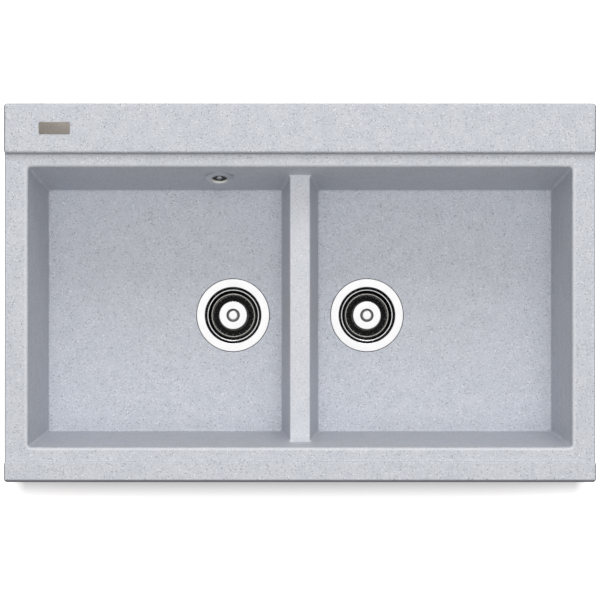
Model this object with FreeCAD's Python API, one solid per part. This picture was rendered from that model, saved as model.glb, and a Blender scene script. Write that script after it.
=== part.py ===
import FreeCAD, Part
import math
import os

# Double-bowl granite sink for a worktop cut-out, with its strainers, overflow, waste and clamps.
# +X runs to the right, +Y to the back, +Z up. The origin is the middle of the plan on the worktop.

# Plan of the moulding
overall_width = 860.0
overall_depth = 550.0
waist_inset = 0.5
plan_corner_r = 5.0
edge_r = 2.0

# Rim, deck and front strip
rim_thickness = 10.0
side_rim = 34.0
back_rim = 18.6
front_rim = 20.2
deck_depth = 73.0
deck_rise = 9.0
deck_edge_r = 4.5
deck_foot_r = 0.8
strip_depth = 30.0
strip_rise = 5.0
strip_edge_r = 2.2
strip_foot_r = 0.5

# Bowls and the low divider
bowl_depth = 200.0
end_draft = 9.3
long_draft = 18.4
wall_thickness = 9.0
floor_thickness = 10.0
corner_r = 4.5
floor_r = 3.8
lip_r = 5.5
divider_drop = 68.0
divider_top_width = 29.5
divider_base_width = 55.0
divider_edge_r = 2.5

# Worktop and cut-out below the rim
worktop_thickness = 28.0
cutout_overlap = 10.0
seal_inset = 2.0
seal_width = 5.0
seal_height = 2.0

# Plate on the deck
badge_width = 45.2
badge_depth = 17.8
badge_thickness = 1.2
badge_sunk = 0.5
badge_corner_r = 2.0
badge_edge_r = 0.3
badge_from_left = 73.8

# Blind tap hole under the deck, left closed until a tap is fitted
tap_hole_r = 17.5
tap_hole_skin = 6.0

# Strainer well, its heights counted from the bowl floor
drain_spacing = 206.0
drain_forward = 7.0
well_sheet = 1.5
flange_width = 12.5
flange_round_r = 0.8
throat_step = 4.0
throat_drop = 7.0
ledge_width = 1.5
well_r = 38.0
well_depth = 42.0
well_corner_r = 5.0
flange_recess_gap = 0.7
flange_gasket_height = 1.2
stone_hole_gap = 2.0
drain_holes = 6
hub_margin = 1.5
drain_hole_share = 0.78

# Screw that joins well and waste cup
screw_r = 3.0
screw_head_r = 6.5
screw_head_height = 7.0
screw_socket_depth = 5.4
screw_socket_r = 3.3
screw_tip_gap = 1.0

# Basket, its cap, sleeve, stem, knob and seal
basket_gap = 4.5
basket_sheet = 1.2
basket_height = 29.0
basket_lip = 1.3
basket_rim_r = 0.5
shoulder_width = 3.7
shoulder_drop = 3.0
shoulder_r = 4.0
basket_taper = 3.5
basket_corner_r = 3.0
slot_band = 11.9
slot_count = 18
slot_rib = 2.0
slot_start_gap = 1.5
seal_thickness = 3.0
basket_seal_inset = 2.5
cap_above_rim = 6.0
cap_sheet = 1.5
cap_skirt = 3.0
cap_edge_r = 1.0
knob_r = 6.9
knob_height = 8.5
knob_edge_r = 1.2
groove_width = 3.5
groove_depth = 3.0
sleeve_wall = 3.0
stem_r = 2.6
stem_collar_r = 10.0
stem_tip_length = 4.8

# Waste cup below the stone
cup_gasket_height = 3.0
cup_wall = 3.0
cup_well_gap = 4.5
cup_flange_width = 8.0
cup_flange_thickness = 4.0
cup_height = 70.0
post_wall = 3.0
insert_nut_wall = 2.0
insert_nut_length = 16.0

# Waste pipes, slip joints and tee
pipe_r = 20.0
pipe_wall = 2.0
socket_wall = 2.7
nut_wall = 3.6
nut_ribs = 12
nut_rib_height = 1.2
nut_rib_width = 4.0
washer_thickness = 3.0
lip_thickness = 3.0
nut_thread_length = 9.0
socket_share = 0.62
tee_drop = 47.0

# Bottle trap
trap_r = 36.0
trap_wall = 3.0
trap_socket_length = 22.0
trap_margin = 3.0
trap_thread_length = 12.0
trap_cup_wall = 3.0
trap_cup_taper = 6.0
trap_collar = 4.0
trap_seal_height = 2.5
dip_tube_wall = 2.0
dip_tube_clearance = 22.0
water_seal = 50.0
dip_flange_thickness = 2.0
outlet_length = 150.0
outlet_insertion = 16.0
outlet_bead_gap = 4.0
outlet_bead_width = 3.0
outlet_bead_height = 1.5

# Overflow, its lengths counted along its own slanted axis
overflow_x = -119.1
overflow_drop = 67.0
overflow_tilt = 21.6
overflow_proud = 4.3
rosette_r = 20.0
rosette_height = 3.2
rosette_mouth_r = 11.2
rosette_edge_r = 1.3
rosette_sheet = 1.4
rosette_spokes = 4
rosette_spoke_width = 3.4
rosette_flare = 0.9
rosette_depth = 3.0
rosette_sleeve_wall = 1.2
rosette_hub_r = 5.2
rosette_gap = 0.8
overflow_wall = 11.0
overflow_boss_wall = 6.0
overflow_spot_gap = 1.0
overflow_throat_r = 14.0
overflow_gasket_height = 2.0
overflow_gasket_width = 8.0
elbow_flange_thickness = 3.0
elbow_r = 17.0
elbow_wall = 2.5
elbow_depth = 34.0
elbow_post_r = 4.6
elbow_stub_length = 50.0
overflow_screw_r = 2.0
overflow_screw_head_r = 3.8
overflow_screw_head_height = 3.0
overflow_screw_dome_r = 2.2
overflow_screw_length = 32.0

# Overflow hose and its clips
hose_inner_r = 11.8
hose_wall = 2.2
hose_bend_r = 45.0
hose_grip = 20.0
hose_stub_r = 11.5
hose_stub_wall = 2.0
hose_drop_in_cup = 34.0
clip_width = 9.0
clip_thickness = 0.9
clip_lug_length = 9.0
clip_lug_height = 6.0
clip_end_gap = 5.0

# Mounting clamps
inner_clamp_x = 190.0
outer_clamp_x = 340.0
back_clamp_setback = 20.0
clamp_boss_r = 11.0
clamp_boss_drop = 14.0
clamp_rib_width = 9.0
clamp_insert_r = 4.0
clamp_insert_length = 12.0
clamp_screw_r = 2.5
clamp_head_r = 5.5
clamp_head_height = 4.0
clamp_tip_gap = 1.0
arm_width = 18.0
arm_reach = 32.0
arm_thickness = 3.0
arm_toe_height = 8.0
arm_toe_r = 2.0
drive_slot_width = 1.4
drive_slot_depth = 1.6

# Clearances
seat_gap = 0.2
thread_gap = 0.1
pipe_gap = 0.3
arm_gap = 0.3
overrun = 5.0
same_height = 0.01

# Places that follow from the sizes
half_width = overall_width / 2
half_depth = overall_depth / 2
waist_x = half_width - waist_inset
deck_front_y = half_depth - deck_depth
strip_back_y = strip_depth - half_depth
deck_y = half_depth - deck_depth / 2
deck_top = rim_thickness + deck_rise
opening_x = half_width - side_rim
opening_back_y = deck_front_y - back_rim
opening_front_y = strip_back_y + front_rim
floor_z = rim_thickness - bowl_depth
underside_z = floor_z - floor_thickness
divider_z = rim_thickness - divider_drop
cutout_y = half_depth - cutout_overlap

drain_x = drain_spacing / 2
floor_middle_y = (opening_back_y + opening_front_y) / 2
drain_y = floor_middle_y - drain_forward
ledge_r = well_r + ledge_width
throat_r = ledge_r + throat_step
flange_r = throat_r + flange_width
stone_hole_r = ledge_r + well_sheet + throat_step + stone_hole_gap
recess_depth = well_sheet + flange_gasket_height
hub_r = screw_head_r + hub_margin
basket_r = well_r - basket_gap
cap_r = basket_r - slot_band
drain_hole_r = (cap_r - hub_r - well_sheet - hub_margin) * drain_hole_share / 2
drain_hole_ring_r = (cap_r + hub_r + well_sheet - hub_margin) / 2
well_floor = -well_depth
well_underside = well_floor - well_sheet
hub_floor = well_underside - screw_head_height
basket_floor = well_floor + seat_gap + seal_thickness
basket_rim = basket_floor + basket_height
cap_top = basket_rim + cap_above_rim
cap_under = cap_top - groove_depth - cap_sheet
groove_r = knob_r + groove_width
sleeve_r = stem_r + thread_gap + sleeve_wall

cup_top = -floor_thickness - cup_gasket_height
cup_inner_r = ledge_r + well_sheet + cup_well_gap
cup_r = cup_inner_r + cup_wall
cup_flange_r = cup_r + cup_flange_width
cup_bottom = cup_top - cup_height
socket_inner_r = pipe_r + pipe_gap
socket_r = socket_inner_r + socket_wall
nut_inner_r = socket_r + pipe_gap
nut_r = nut_inner_r + nut_wall
pipe_z = cup_bottom + cup_wall + socket_r
post_r = screw_r + thread_gap + insert_nut_wall + post_wall
post_top = hub_floor - well_sheet - seat_gap
insert_nut_r = screw_r + thread_gap + insert_nut_wall
pipe_height = floor_z + pipe_z
side_gap = drain_x - cup_r - pipe_r
socket_length = side_gap * socket_share
socket_end_x = drain_x - cup_r - socket_length
tee_half = drain_x - cup_r - socket_wall

trap_joint_z = pipe_height - tee_drop
trap_socket_top = trap_joint_z + trap_socket_length - socket_wall
trap_plate_top = trap_joint_z - seat_gap - dip_flange_thickness
trap_top = trap_plate_top - trap_wall
dip_tube_r = pipe_r - pipe_wall
trap_side_z = trap_top - trap_margin - socket_r
trap_bottom = trap_side_z - socket_r - trap_margin - trap_thread_length
dip_tube_bottom = trap_side_z - pipe_r - water_seal
trap_inner_r = trap_r - trap_wall
trap_socket_y = drain_y + trap_r + trap_socket_length
outlet_start_y = trap_socket_y - outlet_insertion
trap_cup_r = trap_r + pipe_gap + trap_collar
trap_cup_bottom = dip_tube_bottom - dip_tube_clearance - trap_cup_wall

rosette_seat_r = rosette_r + rosette_gap
overflow_z = rim_thickness - overflow_drop
overflow_flange_r = overflow_throat_r + overflow_gasket_width
overflow_boss_r = overflow_flange_r + overflow_boss_wall
elbow_front = -overflow_wall - overflow_gasket_height
elbow_back = elbow_front - elbow_depth
elbow_middle = (elbow_front + elbow_back) / 2
hose_r = hose_inner_r + hose_wall
clip_r = hose_r + pipe_gap + clip_thickness
hose_z = floor_z + cup_top - cup_flange_thickness - hose_drop_in_cup + hose_stub_r
boss_bottom = -clamp_boss_drop
arm_top = -worktop_thickness - arm_toe_height
arm_bottom = arm_top - arm_thickness
clamp_head_top = arm_bottom - arm_gap
full_turn = 360.0
quarter_turn = 90.0
origin = FreeCAD.Vector(0, 0, 0)
up = FreeCAD.Vector(0, 0, 1)
along_x = FreeCAD.Vector(1, 0, 0)
along_y = FreeCAD.Vector(0, 1, 0)


# Shapes that many pieces use
def end_wall_x(z):
    """Distance of a bowl's end wall from the middle at height z."""
    return opening_x - end_draft * (rim_thickness - z) / bowl_depth


def back_wall_y(z):
    """Place of the bowls' back wall at height z."""
    return opening_back_y - long_draft * (rim_thickness - z) / bowl_depth


def front_wall_y(z):
    """Place of the bowls' front wall at height z."""
    return opening_front_y + long_draft * (rim_thickness - z) / bowl_depth


def divider_x(z):
    """Half of the divider's width at height z."""
    growth = (divider_base_width - divider_top_width) / 2
    return divider_top_width / 2 + growth * (divider_z - z) / (divider_z - floor_z)


def rounded_loop(corners, place):
    """Closed wire through corners (u, v, radius), each rounded by its own radius."""
    points = [FreeCAD.Vector(u, v, 0) for u, v, radius in corners]
    bends = []
    for index, (u, v, radius) in enumerate(corners):
        corner = points[index]
        if radius == 0:
            bends.append((corner, corner, corner))
            continue
        to_last = (points[index - 1] - corner).normalize()
        to_next = (points[(index + 1) % len(points)] - corner).normalize()
        half_angle = to_last.getAngle(to_next) / 2
        reach = radius / math.tan(half_angle)
        depth = radius / math.sin(half_angle) - radius
        inward = (to_last + to_next).normalize()
        bends.append((corner + to_last * reach, corner + inward * depth, corner + to_next * reach))
    edges = []
    for index, (start, middle, end) in enumerate(bends):
        following = bends[(index + 1) % len(bends)][0]
        if start != end:
            edges.append(Part.Arc(place(start), place(middle), place(end)).toShape())
        if (following - end).Length > same_height:
            edges.append(Part.makeLine(place(end), place(following)))
    return Part.Wire(edges)


def turned(corners):
    """Solid turned about Z from a closed outline of corners (r, z, radius)."""
    loop = rounded_loop(corners, lambda point: FreeCAD.Vector(point.x, 0, point.y))
    return Part.Face(loop).revolve(origin, up, full_turn)


def upright(corners, low, high):
    """Solid with a rounded plan outline of corners (x, y, radius) between two heights."""
    loop = rounded_loop(corners, lambda point: FreeCAD.Vector(point.x, point.y, low))
    return Part.Face(loop).extrude(FreeCAD.Vector(0, 0, high - low))


def slab(x_low, x_high, y_low, y_high, low, high, radius=0):
    """Upright block with its four plan corners rounded."""
    corners = [
        (x_low, y_low, radius),
        (x_high, y_low, radius),
        (x_high, y_high, radius),
        (x_low, y_high, radius),
    ]
    return upright(corners, low, high)


def disc(radius, low, high):
    """Cylinder about Z between two heights."""
    return Part.makeCylinder(radius, high - low, FreeCAD.Vector(0, 0, low), up)


def ring(inner_r, outer_r, low, high):
    """Flat ring about Z between two heights."""
    return disc(outer_r, low, high).cut(disc(inner_r, low, high))


def rounded_where(solid, radius, chosen):
    """Rounds the edges that the test picks."""
    return solid.makeFillet(radius, [edge for edge in solid.Edges if chosen(edge)])


def at_height(edge, z):
    """True for an edge that lies level at height z."""
    box = edge.BoundBox
    return abs(box.ZMin - z) < same_height and abs(box.ZMax - z) < same_height


def steep(edge):
    """True for an edge that rises more than it runs."""
    box = edge.BoundBox
    return box.ZLength > max(box.XLength, box.YLength) and box.ZLength > same_height


def tapered_block(rect_at, low, high):
    """Flat-sided solid whose plan rectangle at each height comes from rect_at."""
    loops = []
    for z in (low, high):
        x_low, x_high, y_low, y_high = rect_at(z)
        plan = [(x_low, y_low), (x_high, y_low), (x_high, y_high), (x_low, y_high)]
        loops.append([FreeCAD.Vector(x, y, z) for x, y in plan])
    bottom, top = loops
    faces = [Part.Face(Part.makePolygon(loop + loop[:1])) for loop in loops]
    for index in range(len(bottom)):
        after = (index + 1) % len(bottom)
        side = [bottom[index], bottom[after], top[after], top[index], bottom[index]]
        faces.append(Part.Face(Part.makePolygon(side)))
    return Part.Solid(Part.makeSolid(Part.makeShell(faces)).Shells[0])


# The moulding
def bowl_rect(side, z, wall):
    """Plan rectangle of one bowl at height z, grown outwards by a wall."""
    ends = sorted((side * (end_wall_x(z) + wall), side * (divider_x(z) - wall)))
    return ends[0], ends[1], front_wall_y(z) - wall, back_wall_y(z) + wall


def cavity():
    """Space of both bowls and of the gap above the divider."""
    top = rim_thickness + overrun
    bowls = [
        tapered_block(lambda z, s=side: bowl_rect(s, z, 0), floor_z, top) for side in (-1, 1)
    ]
    middle = tapered_block(
        lambda z: (-divider_base_width, divider_base_width, front_wall_y(z), back_wall_y(z)),
        divider_z,
        top,
    )
    space = bowls[0].fuse([bowls[1], middle]).removeSplitter()
    space = rounded_where(space, corner_r, steep)
    space = rounded_where(space, floor_r, lambda edge: at_height(edge, floor_z))
    return space


def outer_bowl():
    """Outside of the left bowl below the rim."""
    block = tapered_block(
        lambda z: bowl_rect(-1, z, wall_thickness), underside_z, rim_thickness / 2
    )
    block = rounded_where(block, corner_r + wall_thickness, steep)
    return rounded_where(
        block, floor_r + wall_thickness / 2, lambda edge: at_height(edge, underside_z)
    )


def divider_roof():
    """Bridge of stone between the two bowls, just below the divider's top."""
    low = divider_z - floor_thickness
    return tapered_block(
        lambda z: (
            -divider_base_width,
            divider_base_width,
            front_wall_y(z) - wall_thickness,
            back_wall_y(z) + wall_thickness,
        ),
        low,
        rim_thickness / 2,
    )


def deck():
    """Raised ledge along the back."""
    block = slab(-half_width, half_width, deck_front_y, half_depth, 0, deck_top, plan_corner_r)
    return rounded_where(block, deck_edge_r, lambda edge: at_height(edge, deck_top))


def front_strip():
    """Raised strip along the front."""
    top = rim_thickness + strip_rise
    block = slab(-half_width, half_width, -half_depth, strip_back_y, 0, top, plan_corner_r)
    return rounded_where(block, strip_edge_r, lambda edge: at_height(edge, top))


def rim_plate():
    """Lower rim round the opening, narrower than deck and strip."""
    front = strip_back_y - strip_depth / 2
    back = deck_front_y + deck_depth / 2
    block = slab(-waist_x, waist_x, front, back, 0, rim_thickness)
    return rounded_where(
        block,
        edge_r,
        lambda edge: at_height(edge, rim_thickness) and edge.BoundBox.YLength > deck_depth,
    )


def foot_strip(y, direction, radius):
    """Hollow rounding in the corner where a step rises from the rim."""
    corner = FreeCAD.Vector(-waist_x, y, rim_thickness)
    outward = corner + along_y * (direction * radius)
    upward = corner + up * radius
    centre = outward + up * radius
    middle = centre + (corner - centre).normalize() * radius
    edges = [
        Part.makeLine(upward, corner),
        Part.makeLine(corner, outward),
        Part.Arc(outward, middle, upward).toShape(),
    ]
    return Part.Face(Part.Wire(edges)).extrude(along_x * (waist_x * 2))


def clamp_rows():
    """Each clamp as (name, x, y, side of the sink in x, side in y)."""
    back_y = cutout_y - back_clamp_setback
    shell_y = front_wall_y(0) - wall_thickness
    front_y = (shell_y - cutout_y) / 2
    rows = []
    for name, y, y_side in (("back", back_y, 1), ("front", front_y, -1)):
        places = (-outer_clamp_x, -inner_clamp_x, inner_clamp_x, outer_clamp_x)
        for number, x in enumerate(places, start=1):
            rows.append((f"clamp_arm_{name}_{number}", x, y, int(math.copysign(1, x)), y_side))
    return rows


def clamp_boss(x, y, y_side):
    """Boss under the rim for one clamp, tied to the bowl by a rib."""
    boss = disc(clamp_boss_r, boss_bottom, rim_thickness / 2)
    boss.translate(FreeCAD.Vector(x, y, 0))
    wall = back_wall_y(boss_bottom) if y_side > 0 else front_wall_y(boss_bottom)
    inner = wall + y_side * wall_thickness / 2
    low, high = sorted((inner, y))
    half = clamp_rib_width / 2
    rib = slab(x - half, x + half, low, high, boss_bottom, rim_thickness / 2)
    return boss.fuse(rib)


def along_overflow(shape):
    """Carries a shape from its own frame, +Z out into the bowl, to the overflow's place."""
    moved = shape.copy()
    moved.rotate(origin, along_x, quarter_turn - overflow_tilt)
    moved.translate(overflow_seat())
    return moved


def overflow_direction():
    """Way in which the overflow faces."""
    tilt = math.radians(overflow_tilt)
    return FreeCAD.Vector(0, -math.cos(tilt), math.sin(tilt))


def overflow_seat():
    """Middle of the slanted seat in the back wall."""
    return FreeCAD.Vector(overflow_x, back_wall_y(overflow_z) - overflow_proud, overflow_z)


def overflow_boss():
    """Thicker stone behind the bowl's wall at the overflow."""
    return along_overflow(disc(overflow_boss_r, -overflow_wall, -overflow_wall / 2))


def overflow_pad():
    """Slanted pad in front of the bowl's wall, which carries the rosette."""
    return along_overflow(disc(rosette_seat_r, -overflow_wall, 0))


def overflow_pocket():
    """Room for the rosette, the throat through the stone and the flat seat behind it."""
    mouth = disc(rosette_seat_r, 0, rosette_seat_r)
    throat = disc(overflow_throat_r, -overflow_wall - overrun, overrun)
    behind = disc(
        overflow_flange_r + overflow_spot_gap, -overflow_wall - elbow_depth, -overflow_wall
    )
    return along_overflow(mouth.fuse([throat, behind]))


def seal_ring(low, high):
    """Ring near the outer edge of the rim's underside."""
    outer_x = waist_x - seal_inset
    outer_y = half_depth - seal_inset
    inner_x = outer_x - seal_width
    inner_y = outer_y - seal_width
    outer = slab(-outer_x, outer_x, -outer_y, outer_y, low, high, plan_corner_r)
    inner = slab(-inner_x, inner_x, -inner_y, inner_y, low, high)
    return outer.cut(inner)


def badge_slab(low, high):
    """Block with the plate's outline at its place on the deck."""
    x = badge_from_left - half_width
    return slab(
        x - badge_width / 2,
        x + badge_width / 2,
        deck_y - badge_depth / 2,
        deck_y + badge_depth / 2,
        low,
        high,
        badge_corner_r,
    )


def drain_cuts(x):
    """Recess for a strainer flange and the hole below it."""
    recess = disc(flange_r + flange_recess_gap, floor_z - recess_depth, floor_z + overrun)
    hole = disc(stone_hole_r, underside_z - overrun, floor_z)
    cuts = recess.fuse(hole)
    cuts.translate(FreeCAD.Vector(x, drain_y, 0))
    return cuts


def sink_body():
    """The whole moulding."""
    rim = [rim_plate(), deck(), front_strip()]
    feet = [
        foot_strip(deck_front_y, -1, deck_foot_r),
        foot_strip(strip_back_y, 1, strip_foot_r),
    ]
    bosses = [clamp_boss(x, y, y_side) for name, x, y, side, y_side in clamp_rows()]
    bowl = outer_bowl()
    shell = bowl.fuse([bowl.mirror(origin, along_x), divider_roof(), overflow_boss()])
    body = shell.fuse(rim + feet + bosses).cut(cavity()).removeSplitter()
    body = rounded_where(body, divider_edge_r, divider_edge)
    body = rounded_where(body, lip_r, opening_edge).fuse(overflow_pad())
    tap_hole = disc(tap_hole_r, -overrun, deck_top - tap_hole_skin)
    tap_hole.translate(FreeCAD.Vector(0, deck_y, 0))
    cuts = [drain_cuts(-drain_x), drain_cuts(drain_x), overflow_pocket(), tap_hole]
    cuts.append(seal_ring(-overrun, seal_height))
    cuts.append(badge_slab(deck_top - badge_sunk, deck_top + overrun))
    cuts.extend(clamp_hole(x, y) for name, x, y, side, y_side in clamp_rows())
    return body.cut(cuts)


def divider_edge(edge):
    """True for the two long edges of the divider's top."""
    middle = edge.BoundBox.Center
    long_enough = edge.BoundBox.YLength > deck_depth
    return at_height(edge, divider_z) and long_enough and abs(middle.x) < divider_top_width


def opening_edge(edge):
    """True for the edges of the opening in the rim's top."""
    box = edge.BoundBox
    inside_x = max(abs(box.XMin), abs(box.XMax)) < opening_x + same_height
    inside_y = box.YMin > opening_front_y - same_height and box.YMax < opening_back_y + same_height
    return at_height(edge, rim_thickness) and inside_x and inside_y


def clamp_hole(x, y):
    """Blind hole for one clamp's brass insert."""
    hole = disc(clamp_insert_r + thread_gap / 2, boss_bottom - overrun, boss_bottom + clamp_insert_length)
    hole.translate(FreeCAD.Vector(x, y, 0))
    return hole


def rim_seal():
    """Foam tape in its groove under the rim."""
    return seal_ring(0, seal_height)


def deck_badge():
    """Blank plate, let into the deck."""
    low = deck_top - badge_sunk
    block = badge_slab(low, low + badge_thickness)
    return rounded_where(
        block, badge_edge_r, lambda edge: at_height(edge, low + badge_thickness)
    )


# Strainer pieces, each about its own upright axis with the bowl floor at height zero
def around(shape, count):
    """Copies of a shape at even steps about Z."""
    return [shape.rotated(origin, up, index * full_turn / count) for index in range(count)]


def strainer_well():
    """Steel flange and well in one pressing."""
    body = turned(
        [
            (flange_r, -well_sheet, 0),
            (flange_r, 0, flange_round_r),
            (throat_r, 0, throat_step / 2),
            (ledge_r, -throat_drop, ledge_width / 2),
            (well_r, -throat_drop, ledge_width / 2),
            (well_r, well_floor, well_corner_r),
            (hub_r, well_floor, well_sheet / 2),
            (hub_r, hub_floor, 0),
            (screw_r + thread_gap, hub_floor, 0),
            (screw_r + thread_gap, hub_floor - well_sheet, 0),
            (hub_r + well_sheet, hub_floor - well_sheet, well_sheet),
            (hub_r + well_sheet, well_underside, well_sheet / 2),
            (well_r + well_sheet, well_underside, well_corner_r),
            (well_r + well_sheet, -throat_drop - well_sheet, ledge_width / 2),
            (throat_r + well_sheet, -throat_drop - well_sheet, ledge_width / 2),
            (throat_r + well_sheet, -well_sheet, 0),
        ]
    )
    hole = disc(drain_hole_r, well_underside - overrun, well_floor + overrun)
    hole.translate(along_x * drain_hole_ring_r)
    return body.cut(around(hole, drain_holes))


def flange_gasket():
    """Flat ring between stone and flange."""
    return ring(stone_hole_r, flange_r, -recess_depth, -well_sheet)


def centre_screw():
    """Screw with a hollow head that takes the stem's tip."""
    top = hub_floor + screw_head_height
    head = disc(screw_head_r, hub_floor, top)
    head = rounded_where(head, thread_gap, lambda edge: at_height(edge, top))
    socket = disc(screw_socket_r, top - screw_socket_depth, top + overrun)
    shaft = disc(screw_r, post_top - insert_nut_length + screw_tip_gap, hub_floor)
    return head.fuse(shaft).cut(socket)


def basket_cup():
    """Steel cup with a rolled rim, a round shoulder and slots from rim to floor."""
    lip_inner_r = basket_r - basket_lip
    wall_r = lip_inner_r - shoulder_width
    foot_r = wall_r - basket_taper
    top = basket_rim
    bend = top - shoulder_drop
    body = turned(
        [
            (stem_r + thread_gap, basket_floor, 0),
            (foot_r + basket_sheet, basket_floor, basket_corner_r),
            (wall_r + basket_sheet, bend - basket_sheet / 2, shoulder_r),
            (basket_r, top - basket_sheet, basket_sheet / 4),
            (basket_r, top, basket_rim_r),
            (lip_inner_r, top, basket_rim_r),
            (wall_r, bend, shoulder_r - basket_sheet),
            (foot_r, basket_floor + basket_sheet, basket_corner_r - basket_sheet),
            (stem_r + thread_gap, basket_floor + basket_sheet, 0),
        ]
    )
    half_step = math.pi / slot_count
    near = cap_r + slot_start_gap
    far = lip_inner_r
    near_half = near * math.tan(half_step) - slot_rib / 2
    far_half = far * math.tan(half_step) - slot_rib / 2
    corners = [(near, -near_half, 0), (far, -far_half, 0), (far, far_half, 0), (near, near_half, 0)]
    slot = upright(corners, basket_floor - overrun, top + overrun)
    return body.cut(around(slot, slot_count))


def basket_cap():
    """Steel disc over the basket's middle, with a groove round the knob."""
    hole_r = stem_r + thread_gap
    groove_floor = cap_top - groove_depth
    return turned(
        [
            (hole_r, cap_under, 0),
            (groove_r + cap_sheet, cap_under, 0),
            (groove_r + cap_sheet, cap_top - cap_sheet, 0),
            (cap_r - cap_sheet, cap_top - cap_sheet, 0),
            (cap_r - cap_sheet, cap_top - cap_skirt, 0),
            (cap_r, cap_top - cap_skirt, cap_sheet / 4),
            (cap_r, cap_top, cap_edge_r),
            (groove_r, cap_top, cap_sheet / 4),
            (knob_r + seat_gap, groove_floor, 0),
            (hole_r, groove_floor, 0),
        ]
    )


def basket_sleeve():
    """Spacer on the stem between basket floor and cap."""
    return ring(stem_r + thread_gap, sleeve_r, basket_floor + basket_sheet, cap_under)


def basket_stem():
    """Rod that carries basket, cap and knob, with a collar inside the seal."""
    collar_low = well_floor + seat_gap
    rod_top = cap_top - groove_depth + knob_height - knob_edge_r * 2
    rod = disc(stem_r, collar_low - stem_tip_length, rod_top)
    collar = disc(stem_collar_r, collar_low, basket_floor)
    return rod.fuse(collar)


def basket_knob():
    """Round knob screwed on to the stem."""
    low = cap_top - groove_depth
    high = low + knob_height
    bore_top = high - knob_edge_r * 2 + thread_gap
    return turned(
        [
            (stem_r + thread_gap, low, 0),
            (knob_r, low, 0),
            (knob_r, high, knob_edge_r),
            (0, high, 0),
            (0, bore_top, 0),
            (stem_r + thread_gap, bore_top, 0),
        ]
    )


def basket_seal():
    """Rubber ring under the basket, which covers the drain holes."""
    outer_r = basket_r - basket_seal_inset
    return ring(stem_collar_r + thread_gap, outer_r, well_floor + seat_gap, basket_floor)


def cup_gasket():
    """Rubber ring between stone and waste cup."""
    return ring(stone_hole_r, cup_flange_r, cup_top, -floor_thickness)


def socket_tube(inner_r, outer_r, start, direction, length):
    """Pipe stub from a vessel's axis outwards, as the tube to fuse and the bore to cut."""
    outer = Part.makeCylinder(outer_r, length, start, direction)
    bore = Part.makeCylinder(inner_r, length + overrun, start, direction)
    return outer, bore


def waste_cup(side):
    """Plastic cup below the stone, open towards the tee, the left one with an overflow inlet."""
    flange = ring(cup_inner_r, cup_flange_r, cup_top - cup_flange_thickness, cup_top)
    shell = disc(cup_r, cup_bottom, cup_top)
    inside = disc(cup_inner_r, cup_bottom + cup_wall, cup_top + overrun)
    post = disc(post_r, cup_bottom, post_top)
    nut_hole = disc(insert_nut_r + thread_gap / 2, post_top - insert_nut_length, post_top + overrun)
    inward = along_x * -side
    middle = FreeCAD.Vector(0, 0, pipe_z)
    outer, bore = socket_tube(socket_inner_r, socket_r, middle, inward, cup_r + socket_length)
    solid = shell.fuse([flange, outer])
    hollow = [inside, bore]
    if side < 0:
        start = FreeCAD.Vector(0, 0, hose_z - floor_z)
        reach = cup_r + clip_end_gap + hose_grip
        stub_inner_r = hose_stub_r - hose_stub_wall
        stub, stub_bore = socket_tube(stub_inner_r, hose_stub_r, start, hose_direction(), reach)
        solid = solid.fuse(stub)
        hollow.append(stub_bore)
    return solid.cut(hollow).fuse(post).cut(nut_hole)


def cup_nut():
    """Brass nut moulded into the waste cup's post."""
    return ring(screw_r + thread_gap, insert_nut_r, post_top - insert_nut_length, post_top)


# Waste below the two cups
def slip_nut(position, direction):
    """Ribbed nut over a socket's end. The direction points from the socket to the pipe."""
    thread = nut_thread_length
    length = thread + washer_thickness + lip_thickness
    shell = disc(nut_r, -thread, length - thread)
    bore = disc(nut_inner_r, -thread - overrun, washer_thickness)
    mouth = disc(socket_inner_r, -thread, length)
    rib_half = nut_rib_width / 2
    rib_r = nut_r + nut_rib_height
    rib = slab(nut_r - nut_rib_height, rib_r, -rib_half, rib_half, -thread, washer_thickness)
    nut = shell.fuse(around(rib, nut_ribs)).cut(bore.fuse(mouth))
    if abs(direction.z) < same_height:
        nut.rotate(origin, up.cross(direction), quarter_turn)
    nut.translate(position)
    return nut


def slip_washer(position, direction):
    """Flat rubber washer squeezed by a slip nut."""
    outer = Part.makeCylinder(socket_r, washer_thickness, position, direction)
    bore = Part.makeCylinder(socket_inner_r, washer_thickness, position, direction)
    return outer.cut(bore)


def slip_joints():
    """Place and direction of each slip joint: two cups, trap inlet and trap outlet."""
    joints = []
    for side in (-1, 1):
        place = FreeCAD.Vector(side * socket_end_x, drain_y, pipe_height)
        joints.append((place, along_x * -side))
    joints.append((FreeCAD.Vector(0, drain_y, trap_socket_top), up))
    joints.append((FreeCAD.Vector(0, trap_socket_y, trap_side_z), along_y))
    return joints


def waste_tee():
    """Tee that joins both cups to the trap."""
    centre = FreeCAD.Vector(0, drain_y, pipe_height)
    left = centre - along_x * tee_half
    outer = Part.makeCylinder(pipe_r, tee_half * 2, left, along_x)
    bore = Part.makeCylinder(pipe_r - pipe_wall, tee_half * 2, left, along_x)
    drop = Part.makeCylinder(pipe_r, tee_drop, centre, -up)
    drop_bore = Part.makeCylinder(pipe_r - pipe_wall, tee_drop, centre, -up)
    return outer.fuse(drop).cut(bore.fuse(drop_bore))


def trap_body():
    """Upper part of the bottle trap with inlet and side outlet."""
    body = disc(trap_r, trap_bottom, trap_plate_top)
    inlet = disc(socket_r, trap_top, trap_socket_top)
    inside = disc(trap_inner_r, trap_bottom - overrun, trap_top)
    hole = disc(dip_tube_r + pipe_gap, trap_bottom, trap_plate_top)
    inlet_bore = disc(socket_inner_r, trap_plate_top, trap_socket_top + overrun)
    start = up * trap_side_z
    reach = trap_r + trap_socket_length
    outer, outer_bore = socket_tube(socket_inner_r, socket_r, start, along_y, reach)
    solid = body.fuse([inlet, outer]).cut([inside, hole, inlet_bore, outer_bore])
    solid.translate(along_y * drain_y)
    return solid


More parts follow.
